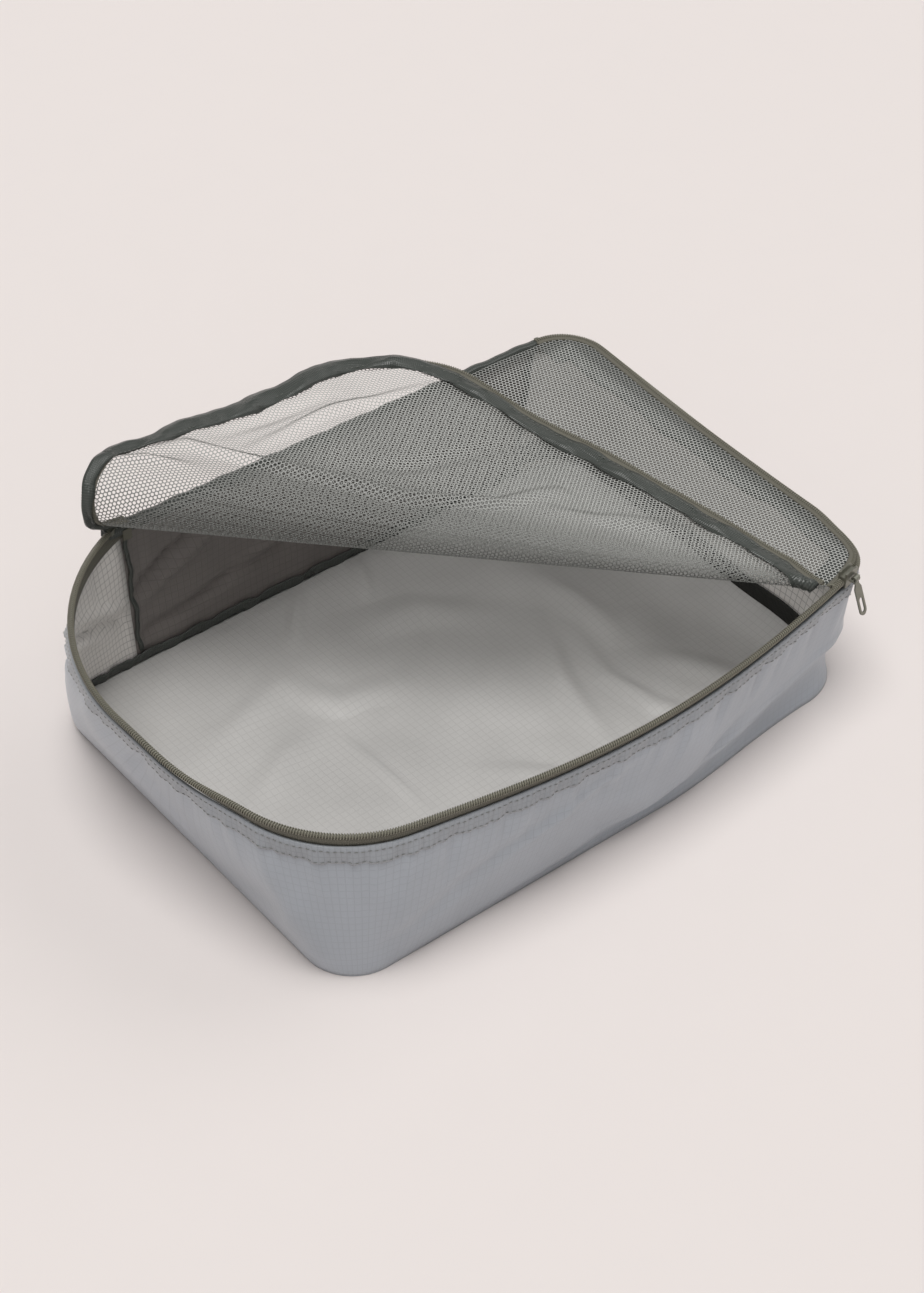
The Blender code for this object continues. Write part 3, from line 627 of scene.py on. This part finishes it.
def build_floor_cloth():
    """The base, with soft folds, held flat at its edge."""
    steps = np.linspace(1.0, 0.0, 71)[:-1]
    centre = BASE.mean(0)
    edge = BASE - BASE_OUT * 0.0020
    flat = centre + (edge - centre)[:, None] * steps[None, :, None]
    height = base_height(flat[..., 0], flat[..., 1])
    calm = np.clip((1 - steps) / 0.08, 0, 1)[None]
    height = np.maximum(height, 0.0009) * calm + 0.0011 * (1 - calm)
    height += 0.0085 * np.clip((flat[..., 0] - 0.168) / 0.020, 0, 1) ** 2
    rows, columns = height.shape
    points = np.vstack([np.concatenate([flat, height[..., None]], -1).reshape(-1, 3),
                        (*centre, base_height(*centre))])
    i, j = np.meshgrid(np.arange(rows) * columns, np.arange(columns - 1), indexing="ij")
    k = (i + columns) % (rows * columns)
    one = np.stack([i + j, i + j + 1, k + j + 1], -1).reshape(-1, 3)
    two = np.stack([i + j, k + j + 1, k + j], -1).reshape(-1, 3)
    last = np.arange(rows) * columns + columns - 1
    hub = np.column_stack([last, np.full(rows, len(points) - 1), np.roll(last, -1)])
    sheet = make_mesh("base_cloth", points, np.vstack([one, two, hub]), points[:, :2])
    thicken(sheet, 0.0006)
    dress(sheet, FLOOR_CLOTH, "tray", ("base_panel",))


# each fold: its path, height and half width
FLOOR_FOLDS = (
    (((0.078, 0.022), (0.070, 0.004), (0.054, -0.030), (0.045, -0.067), (0.040, -0.095)), 0.0042, 0.013),
    (((0.088, 0.004), (0.077, -0.043), (0.083, -0.080), (0.100, -0.108)), 0.0040, 0.011),
    (((-0.074, 0.012), (-0.075, -0.024), (-0.074, -0.070)), 0.0024, 0.006),
    (((-0.075, 0.064), (-0.060, 0.034), (-0.024, 0.029)), 0.0034, 0.016),
    (((-0.062, 0.078), (-0.095, 0.062), (-0.142, 0.048)), 0.0034, 0.016),
    (((-0.082, 0.028), (-0.112, 0.016), (-0.150, -0.006)), 0.0034, 0.015),
    (((0.026, 0.136), (0.020, 0.120), (0.010, 0.100)), 0.0030, 0.008),
    (((-0.024, 0.126), (-0.036, 0.110), (-0.052, 0.092)), 0.0030, 0.008),
    (((0.100, 0.056), (0.106, 0.020), (0.108, -0.020)), 0.0042, 0.015),
    (((-0.024, 0.084), (0.028, 0.072), (0.062, 0.036)), 0.0034, 0.020),
    (((0.110, -0.045), (0.128, -0.075), (0.140, -0.105)), 0.0030, 0.014),
    (((-0.030, -0.060), (0.000, -0.085), (0.010, -0.115)), 0.0026, 0.012),
)
build_floor_cloth()


# ---- tray trims

def rim_line(first, last, out, down):
    """A line that follows the rim, out from it and down the wall: its points, outward side and run."""
    places = np.arange(first, last + 1e-6, 0.5)
    rim = take(RIM3, places)
    side = with_height(unit(take(RIM_OUT, places)))
    wall = unit(rim - with_height(take(BASE, places)))
    return rim + side * out - wall * down, side, np.interp(places, np.arange(RING), RIM_RUN)


def build_rim_tape():
    """The tray's half of the zip tape, inside the hem."""
    rows = ((0.0000, 0.0007), (0.0000, 0.0035), (-0.0004, 0.0062), (-0.0014, 0.0092))
    lines = [rim_line(I_START - 0.4, I_BACK - 1, out, down) for out, down in rows]
    points = np.stack([line_points for line_points, side, run in lines], 1)
    uv = strip_uv(lines[0][2], np.arange(len(rows)) * 0.002)
    dress(grid("rim_zip_tape", points, uv, 0.0006), ZIP_TAPE, "tray", ("tray_zip_tape",))


def build_hem():
    """The wall's folded top edge: a puckered strip on the outside, with its two rows of stitches."""
    places = np.arange(I_START, I_BACK - 1 + 1e-6, 0.25)
    run = np.interp(places, np.arange(RING + 1), RING_RUN)
    strength = np.interp(run, [0.20, 0.32], [0.15, 1.0])
    lines = []
    for k, (drop, out) in enumerate(HEM_ROWS):
        pucker = strength * ripple(run, (0.0052, 0.5, k * 0.5), (0.0083, 0.6, k * 0.8),
                                   (0.0193, 0.5, k * 0.3))
        low = drop + 0.00025 * pucker * (k > 5)
        lift = out + HEM_PUCKER * (1.2 + pucker) * (0 < k < 7)
        lines.append(wall_surface(places, 1 - low / WALL_TALL, -lift))
    points = np.stack(lines, 1)
    uv = strip_uv(run, [drop for drop, out in HEM_ROWS])
    dress(grid("hem_cloth", points, uv, 0.0004), HEM, "tray", ("rim_hem",))
    side = with_height(take(RIM_OUT, places))
    for name, row in (("hem_stitch_top", 2), ("hem_stitch_low", 5)):
        dress(stitches(name, points[:, row] + side * 0.0004, side), STITCH, "tray")


# rows of the hem: drop below the rim and height over the wall
HEM_ROWS = ((0.0060, -0.0002), (0.0066, 0.0006), (0.0086, 0.0008), (0.0108, 0.0010), (0.0130, 0.0010),
            (0.0150, 0.0008), (0.0164, 0.0005), (0.0168, -0.0003))
HEM_PUCKER = 0.00024


def zip_coil(tag, name, path, side, up, radius, wire, core):
    """A coil round its cord, as one piece."""
    teeth = coil(tag + "_coil_wire", path, side, up, radius, wire)
    cord = tube(tag + "_coil_core", path, side, up, core)
    dress(teeth, COIL)
    dress(cord, ZIP_TAPE)
    return joined(tag + "_" + name, [teeth, cord])


def build_rim_coil():
    """The tray's row of the zip's coil."""
    path, side, run = rim_line(I_START + 1, I_BACK - 1, 0.0, 0.0002)
    up = np.broadcast_to(np.array((0, 0, 1.0)), side.shape)
    chain = zip_coil("rim", "zip_coil", path, side, up, 0.00140, 0.00042, 0.00105)
    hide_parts("tray_zip_coil")
    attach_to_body(chain, "tray")


build_rim_tape()
build_hem()
build_rim_coil()


def floor_binding(name, first, last, finish, low, high, node, wavy):
    """Binding over the seam between base and wall, inside the tray."""
    places = np.arange(first, last + 1e-6, 0.5)
    run = np.interp(places % RING, np.arange(RING + 1), RING_RUN)
    lines = []
    for k, share in enumerate((0.0, 0.35, 0.70, 1.0)):
        wave = ripple(run, (0.019, 0.0006, k), (0.033, 0.0008, 1.0 + k * 0.4)) * wavy
        height = low + (high - low) * share + wave * 0.8
        lines.append(wall_surface(places % RING, height / 0.1, 0.0024 + np.abs(wave) * 0.6))
    uv = strip_uv(run, np.arange(len(lines)) * 0.003)
    dress(grid(name, np.stack(lines, 1), uv, 0.0008), finish, "tray", node)


floor_binding("base_binding_left", I_BACK, I_END + I_FRONT, BINDING, 0.0018, 0.0072,
              ("base_seam_binding",), 1.0)
floor_binding("base_binding_front", I_FRONT, I_C, BINDING, 0.0018, 0.0085, (), 0.5)
floor_binding("base_binding_right", I_C, I_BACK, BLACK_TAPE, 0.0075, 0.0230, (), 0.1)


def seam_strip(name, place, node):
    """Upright binding over the seam at one end of the back wall."""
    points, uv = wall_grid(place + np.array([-0.45, 0.0, 0.45]), np.linspace(0.09, 0.92, 40), 0.0022)
    points[..., 0] += ripple(uv[..., 1], (0.031, 0.0008, 0.4), (0.013, 0.0003, 1.0))
    dress(grid(name, points, uv, 0.0007), BINDING, "tray", node)


seam_strip("left_seam_cloth", RING - 0.9, ("left_seam_binding",))
seam_strip("right_seam_cloth", I_BACK + 0.9, ("right_seam_binding",))


# ---- lid and its fold

def fold_table():
    """Unit ruling, its sideways direction and the cloth's normal, for each flat angle."""
    step = math.radians(0.05)
    low, high = math.radians(-100.0), math.radians(125.0)
    angles = np.arange(low, high, step)
    rim_normal = Vector((-RIM_SLOPE[0], -RIM_SLOPE[1], 1.0)).normalized()
    start = Vector((0.0, 1.0, RIM_SLOPE[1])).normalized()
    normal = start.cross(rim_normal).cross(start).normalized()
    side = normal.cross(start)
    ruling = start * math.cos(low) + side * math.sin(low)
    side = normal.cross(ruling)
    table = []
    for angle in angles:
        table.append((*ruling, *side, *normal))
        off = angle + step / 2 - FOLD_MIDDLE
        curve = 0.0
        if abs(off) < FOLD_HALF:
            curve = FOLD_TURN / FOLD_HALF * math.cos(math.pi / 2 * off / FOLD_HALF) ** 2
        elif off > FOLD_HALF:
            curve = FLAP_CURL
        axis = normal + ruling * curve
        size = axis.length * step
        axis.normalize()
        turned = []
        for vector in (ruling, side, normal):
            turned.append(vector * math.cos(size) + axis.cross(vector) * math.sin(size)
                          + axis * axis.dot(vector) * (1 - math.cos(size)))
        ruling, side, normal = turned
    return angles, np.array(table)


FOLD_ANGLES, FOLD_TABLE = fold_table()
APEX3 = np.array((APEX[0], APEX[1], rim_z(*APEX) + LID_LIFT))


def fold_entry(angle):
    """Ruling, sideways direction and normal at flat angles in radians, as nine numbers each."""
    return np.stack([np.interp(angle, FOLD_ANGLES, column) for column in FOLD_TABLE.T], -1)


def flat_angle(flat):
    """Angle of a flat point about the apex, from +Y towards -X, in degrees."""
    return np.degrees(np.arctan2(APEX[0] - flat[..., 0], flat[..., 1] - APEX[1]))


def cloth_wave(flat):
    """Soft folds of the lid cloth, along its normal."""
    x, y = flat[..., 0], flat[..., 1]
    angle = flat_angle(flat)
    on_flap = np.clip((angle - 57.0) / 6.0, 0, 1)
    wave = ripple(x * 0.5 - y * 0.87, (0.085, 0.0012, 0.7), (0.049, 0.0006, 2.0)) * on_flap
    past_fold = np.clip((angle - 50.0) / 5.0, 0, 1)
    for path, size, wide in FLAP_FOLDS:
        wave = wave + ridge(x, y, path, size, wide) * past_fold
    on_lid = np.clip((43.0 - angle) / 8.0, 0, 1)
    dip = bump(x, 0.110, 0.110) * bump(y, 0.030, 0.110)
    wave = wave - 0.0040 * dip * on_lid
    return wave + (ripple(x + y * 0.4, (0.061, 0.0004, 1.0)) - 0.0018) * on_lid


# a crease lifts the cloth when its size is negative, as the flap lies upside down
FLAP_FOLDS = (
    (((-0.176, 0.062), (-0.170, 0.044), (-0.150, 0.034), (-0.115, 0.016), (-0.056, -0.013),
      (-0.019, -0.057), (-0.008, -0.098)), -0.0062, 0.0090),
    (((-0.185, 0.100), (-0.170, 0.075), (-0.150, 0.060)), -0.0030, 0.0070),
    (((-0.146, 0.017), (-0.150, -0.029), (-0.147, -0.078), (-0.133, -0.125)), -0.0036, 0.0075),
    (((-0.168, 0.020), (-0.166, -0.030), (-0.160, -0.070)), 0.0022, 0.0080),
    (((-0.100, -0.010), (-0.080, -0.050), (-0.060, -0.110)), 0.0024, 0.0120),
    (((0.000, -0.070), (0.030, -0.100), (0.070, -0.125)), -0.0026, 0.0100),
)


def lid_point(flat, lift=0.0):
    """Places and normals of points of the flat lid once folded; lift is along the normal."""
    entry = fold_entry(np.radians(flat_angle(flat)))
    reach = np.linalg.norm(flat - APEX, axis=-1)[..., None]
    normal = unit(entry[..., 6:9])
    return APEX3 + entry[..., 0:3] * reach + normal * (lift + cloth_wave(flat))[..., None], normal


def lid_outline():
    """The flat lid's edge, from the slider round C, D, the back, A, B and the front."""
    inside = RIM_SEEN[I_C + 6: I_BACK + 1] - RIM_OUT[I_C + 6: I_BACK + 1] * 0.0008
    near_slider = ((0.1560, -0.1405), (0.1650, -0.1385), (0.1740, -0.1355), (0.1815, -0.1322))
    inside = np.vstack([near_slider, inside])
    flap = [arc((FLAP_LEFT + FLAP_CORNER, RIM_BACK - FLAP_CORNER), FLAP_CORNER, 90, 180, 24),
            line((FLAP_LEFT, RIM_BACK - FLAP_CORNER), (FLAP_LEFT, FLAP_FRONT + FLAP_ROUND), 36),
            arc((FLAP_LEFT + FLAP_ROUND, FLAP_FRONT + FLAP_ROUND), FLAP_ROUND, 180, 270, 30),
            line((FLAP_LEFT + FLAP_ROUND, FLAP_FRONT), (0.120, FLAP_FRONT), 66),
            line((0.120, FLAP_FRONT), (0.1635, -0.1395), 12)]
    return inside, np.vstack(flap)


LID_EDGE, FLAP_EDGE = lid_outline()
FLAP_EDGE = FLAP_EDGE[flat_angle(FLAP_EDGE) > 42]


def within(points, outline, inset):
    """True where a point lies inside an outline by at least the inset."""
    x, y = points[:, 0], points[:, 1]
    nearest = np.full(len(points), 1e9)
    odd = np.zeros(len(points), bool)
    for start, end in zip(outline, np.roll(outline, -1, 0)):
        way = end - start
        share = np.clip(((points - start) @ way) / max(way @ way, 1e-12), 0, 1)
        nearest = np.minimum(nearest, np.linalg.norm(points - start - share[:, None] * way, axis=1))
        if abs(end[1] - start[1]) > 1e-12:
            cross = (start[1] > y) != (end[1] > y)
            odd ^= cross & (x < (end[0] - start[0]) * (y - start[1]) / (end[1] - start[1]) + start[0])
    return odd & (nearest > inset)


def net(name, cells):
    """A knitted net: a hexagon of yarn round each open hole."""
    turns = np.radians(30 + 60 * np.arange(6))
    corner = np.column_stack([np.cos(turns), np.sin(turns)]) * NET_PITCH / math.sqrt(3)
    outer = (cells[:, None] + corner).reshape(-1, 2)
    holes = (cells[:, None] + corner * NET_OPEN).reshape(-1, 2)

    # neighbouring cells share the corners between them
    key = np.round(outer * 1e6 / 40).astype(np.int64)
    key = key[:, 0] * 1_000_000 + key[:, 1]
    first, shared = np.unique(key, return_index=True, return_inverse=True)[1:]
    shared = shared.reshape(-1, 6)
    inner = (len(first) + np.arange(len(holes))).reshape(-1, 6)
    faces = np.stack([shared, np.roll(shared, -1, 1), np.roll(inner, -1, 1), inner], -1)
    flat = np.vstack([outer[first], holes])
    edge = np.concatenate([np.zeros(len(first)), np.ones(len(holes))])
    piece = make_mesh(name, lid_point(flat, edge * -0.00030)[0], faces.reshape(-1, 4), flat)
    # painted shade: yarn at each hole's rim takes the dark colour for the shade at a round yarn's sides;
    # yarn_shade adds painted shade on the fold and border
    shade = piece.data.attributes.new("yarn_painted_shade", "FLOAT", "POINT")
    shade.data.foreach_set("value", np.maximum(edge, yarn_shade(flat)))
    return piece


def yarn_shade(flat):
    """Painted shade on the yarn: darker on the rolled fold, which faces away from the light, and along the
    closed lid's right and back edge, over the shaded band under the net.
    """
    angle = flat_angle(flat)
    border = np.maximum((flat[:, 0] - 0.183) / 0.005, (flat[:, 1] - 0.121) / 0.006)
    return np.maximum(0.92 * bump(angle, 50.0, 15.0), 0.55 * np.clip(border, 0, 1) * (angle < 40.0))


def net_cells():
    """Middles of the net's holes, over the whole flat lid inside its edge."""
    outline = np.vstack([LID_EDGE, [(0.165, HINGE_Y - 0.001), (-0.140, HINGE_Y - 0.001)], FLAP_EDGE])
    rows = np.arange(-0.160, 0.145, NET_PITCH * math.sqrt(3) / 2)
    columns = np.arange(-0.195, 0.205, NET_PITCH)
    cells = np.vstack([np.column_stack([columns + k % 2 * NET_PITCH / 2, np.full(len(columns), y)])
                       for k, y in enumerate(rows)])
    return cells[within(cells, outline, 0.0032)]


# pieces of the lid: name, the rulings between which it lies, in degrees, and its bodies
PARTS = (
    ("lid", -200.0, PIECE_EDGES[0], ("lid",)),
    ("roll_low", PIECE_EDGES[0], PIECE_EDGES[1], ("lid", "fold_lower")),
    ("roll_mid", PIECE_EDGES[1], PIECE_EDGES[2], ("fold_lower", "fold_upper")),
    ("roll_high", PIECE_EDGES[2], PIECE_EDGES[3], ("fold_upper", "flap")),
    ("flap", PIECE_EDGES[3], 300.0, ("flap",)),
)
NET_STANDS_FOR = {"lid": ("lid_mesh",), "roll_low": ("fold_strip_lower",), "roll_mid": (),
                  "roll_high": ("fold_strip_upper",), "flap": ("flap_mesh",)}


def attach(item, bodies):
    """Ride on one body; a piece that spans two bodies only has its transform baked into its points."""
    if len(bodies) == 1:
        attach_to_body(item, bodies[0])
        return
    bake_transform(item)


def build_nets():
    cells = net_cells()
    angle = flat_angle(cells)
    for part, low, high, bodies in PARTS:
        mine = cells[(angle >= low) & (angle < high)]
        piece = net(part + "_net", mine)
        dress(piece, NET, None, NET_STANDS_FOR[part])
        attach(piece, bodies)


build_nets()


def into_cloth(edge):
    """Unit direction into the cloth from each point of an edge."""
    ahead = unit(np.gradient(edge, axis=0))
    return np.column_stack([-ahead[:, 1], ahead[:, 0]])


def finer(edge, step=0.0020):
    run, wanted = resample(edge, step)
    return along_path(run, wanted, edge), wanted


TRIMS_STAND_FOR = {part + "_trim_" + trim: part + "_" + node for part in ("lid", "flap")
                   for trim, node in (("tape", "zip_tape"), ("binding", "binding"), ("coil", "zip_coil"))}


def at_run(value, run):
    """A value along an edge, from a function of the run, an array or one number."""
    return value(run) if callable(value) else np.broadcast_to(value, len(run))


def edge_strip(name, edge, run, rows, finish):
    """A strip along the lid's edge through rows of inset from the edge and lift over the cloth."""
    inward = into_cloth(edge)
    lines = []
    for inset, lift in rows:
        flat = edge + inward * at_run(inset, run)[:, None]
        lines.append(lid_point(flat, at_run(lift, run))[0])
    uv = strip_uv(run, np.arange(len(rows)) * 0.002)
    return dress(grid(name, np.stack(lines, 1), uv, 0.0006), finish)


def edge_coil(tag, edge):
    """The lid's row of the zip's coil."""
    path = lid_point(edge)[0]
    side = unit(path - lid_point(edge + into_cloth(edge) * 0.002)[0])
    up = np.cross(unit(np.gradient(path, axis=0)), side)
    return zip_coil(tag, "trim_coil", path, side, up, 0.00115, 0.00036, 0.00085)


def edge_stitches(tag, edge):
    """The row of stitches that holds the lid's binding."""
    path, normal = lid_point(edge + into_cloth(edge) * 0.0072, -0.0018)
    return dress(stitches(tag + "_trim_stitch", path, -normal), STITCH)


def edge_trims(tag, edge, run, bodies, binding_rows, apart=True, tape=0.0062):
    """Tape, coil, binding and stitches along a stretch of the lid's edge."""
    tape_rows = ((0.0002, 0.0), (tape * 0.35, 0.0), (tape * 0.7, -0.0001), (tape, -0.0002))
    pieces = [edge_strip(tag + "_trim_tape", edge, run, tape_rows, ZIP_TAPE),
              edge_strip(tag + "_trim_binding", edge, run, binding_rows, BINDING),
              edge_coil(tag, edge), edge_stitches(tag, edge)]
    if not apart:
        pieces = [joined(tag + "_edge", pieces)]
    for piece in pieces:
        if piece.name in TRIMS_STAND_FOR:
            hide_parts(TRIMS_STAND_FOR[piece.name])
        attach(piece, bodies)


def wavy(base, size, phase):
    """A value along an edge, with three waves on it."""
    return lambda run: base + ripple(run, (0.036, size, phase), (0.061, size * 1.1, phase + 2.0),
                                     (0.0140, size * 0.35, phase + 4.0))


def wrapping(left, front, size, phase):
    """A value for the left side that turns into another past the front corner of the flap."""
    def value(run):
        share = np.clip((run - TURN_RUN) / TURN_LENGTH, 0, 1)
        narrow = WRAP_EDGE + (left - WRAP_EDGE) * np.interp(run, WIDTH_RUNS, WIDTHS)
        return narrow * (1 - share) + front * share + wavy(0.0, size, phase)(run)
    return value


# where the binding turns the corner, and how wide it is, as a share, along the left side
TURN_RUN, TURN_LENGTH = 0.305, 0.040
WRAP_EDGE = -0.0016
WIDTH_RUNS, WIDTHS = (0.04, 0.12, 0.22, 0.30), (0.55, 1.15, 1.50, 1.20)
# rows of the flap's binding: inset from the edge and lift over the cloth
BINDING_ROWS = ((wrapping(-0.0016, 0.0042, 0.0004, 0.9), wrapping(-0.0020, -0.0008, 0.0002, 0.0)),
                (wrapping(0.0008, 0.0068, 0.0001, 0.5), wrapping(-0.0026, -0.0013, 0.00045, 0.3)),
                (wrapping(0.0034, 0.0095, 0.0002, 1.5), wrapping(-0.0024, -0.0016, 0.00075, 1.9)),
                (wrapping(0.0060, 0.0128, 0.0004, 2.4), wrapping(-0.0020, -0.0016, 0.00080, 3.2)),
                (wrapping(0.0082, 0.0162, 0.0009, 0.2), wrapping(-0.0012, -0.0013, 0.00050, 4.4)))


def build_flap_edges():
    """Trims of the flap and of the rolled pieces, each a stretch of one edge."""
    edge, run = finer(FLAP_EDGE)
    angle = flat_angle(edge)
    for part, low, high, bodies in PARTS[1:]:
        chosen = np.where((angle >= low - 0.25) & (angle <= high + 0.25))[0]
        if part != "flap":
            chosen = chosen[chosen < len(edge) - 12]
        if len(chosen) < 4:
            continue
        breaks = np.where(np.diff(chosen) > 1)[0]
        chosen = chosen[:breaks[0] + 1] if len(breaks) else chosen
        edge_trims(part, edge[chosen], run[chosen], bodies, BINDING_ROWS, part == "flap")


def build_lid_edge():
    """Trims of the closed lid's edge; the binding widens towards the back, the extra width standing in for
    the shaded walls seen through the net.
    """
    edge, run = finer(LID_EDGE)
    # the binding is real; its widening towards the back is a dark sheet standing in for the shaded walls
    # seen through the net
    painted_shade_width = np.interp(run, [0, run[-1]], [0.0, 0.0085])
    third = 0.0110 + painted_shade_width * 0.5 + ripple(run, (0.051, 0.0006, 0.2))
    last = 0.0140 + painted_shade_width + ripple(run, (0.063, 0.0012, 0.9), (0.027, 0.0004, 0.3))
    rows = ((0.0040, -0.0010), (0.0080, wavy(-0.0016, 0.0003, 0.4)),
            (third, wavy(-0.0022, 0.0004, 2.0)), (last, wavy(-0.0028, 0.0005, 3.3)))
    edge_trims("lid", edge, run, ("lid",), rows, tape=0.0036)


build_flap_edges()
build_lid_edge()


def build_back_binding():
    """Binding over the seam that holds the lid to the back wall."""
    x = np.linspace(0.170, -0.146, 160)
    top = rim_z(x, HINGE_Y)
    wave = ripple(x, (0.017, 0.0003, 0.0), (0.031, 0.0004, 2.0))
    rows = ((-0.0030, -0.0048), (-0.0026, 0.0006), (-0.0008, 0.0016), (0.0016, 0.0010), (0.0022, -0.0045))
    lines = [np.column_stack([x, HINGE_Y + y + wave * 0.5, top + z + wave * 0.4]) for y, z in rows]
    points = np.stack(lines, 1)
    uv = strip_uv(x, (0, 0.003, 0.005, 0.007, 0.010))
    dress(grid("back_edge_binding", points, uv, 0.0007), BINDING, "tray",
          ("back_hinge_binding",))


build_back_binding()

# the slider, its bail and tab, the stops and the tape's end keep their CAD shapes
for name in ("slider_body", "slider_bail", "pull_tab", "tray_top_stop", "zip_bottom_stop", "flap_top_stop"):
    soften = dress(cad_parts[name], METAL).modifiers.new("soft_edges", "BEVEL")
    soften.width = 0.00018
    soften.segments = 2
    soften.limit_method = "ANGLE"
dress(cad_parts["tape_end_tab"], ZIP_TAPE)


# ---- studio

def build_floor():
    """A warm paper floor that reaches beyond every view."""
    bpy.ops.mesh.primitive_plane_add(size=60.0, location=(0, 0, -0.0002))
    ground = bpy.context.object
    ground.name = "floor"
    made = Nodes("floor_paper", 0.9, specular=0.1)
    grain = made.noise(30.0, 2.0)
    made.colour(made.mix(grain, (0.777, 0.724, 0.704), (0.787, 0.732, 0.712)))
    ground.data.materials.append(made.material)


def build_light():
    """An even sky and three soft suns."""
    world = bpy.data.worlds.new("studio")
    bpy.context.scene.world = world
    world.use_nodes = True
    sky = world.node_tree.nodes["Background"]
    sky.inputs["Color"].default_value = (1.0, 0.99, 0.985, 1.0)
    sky.inputs["Strength"].default_value = 0.31
    for name, power, width, towards in LIGHTS:
        sun = bpy.data.lights.new(name, "SUN")
        sun.energy = power
        sun.angle = math.radians(width)
        sun.color = (1.0, 0.992, 0.982)
        lamp = bpy.data.objects.new(name, sun)
        bpy.context.scene.collection.objects.link(lamp)
        lamp.rotation_euler = Vector(towards).to_track_quat("Z", "Y").to_euler()


# suns: power, width in degrees, direction they shine from
LIGHTS = (
    ("top", 1.88, 34, (-0.14, -0.06, 1.0)),
    ("right", 0.50, 45, (0.80, -0.05, 0.75)),
    ("front_left", 0.20, 45, (-0.65, -0.50, 0.75)),
)


FRAME_LONG = 1293               # pixels on the long side of the picture
CAMERA_LENS = 82.1
CAMERA_DISTANCE = 1.692
CAMERA_TARGET = Vector((0, 0, 0.050))


def build_camera():
    """The picture's view, from the front left and above."""
    azimuth, elevation = math.radians(38.2), math.radians(41.8)
    look = Vector((math.cos(elevation) * math.sin(azimuth), math.cos(elevation) * math.cos(azimuth),
                   -math.sin(elevation)))
    data = bpy.data.cameras.new("camera")
    data.lens = CAMERA_LENS
    data.sensor_width = 36.0
    data.shift_x = 5 / FRAME_LONG
    data.shift_y = -15 / FRAME_LONG
    data.clip_end = 50.0
    camera = bpy.data.objects.new("camera", data)
    bpy.context.scene.collection.objects.link(camera)
    camera.location = CAMERA_TARGET - look * CAMERA_DISTANCE
    camera.rotation_euler = look.to_track_quat("-Z", "Y").to_euler()
    bpy.context.scene.camera = camera


build_floor()
build_light()
build_camera()
bpy.context.scene.view_settings.view_transform = "Standard"
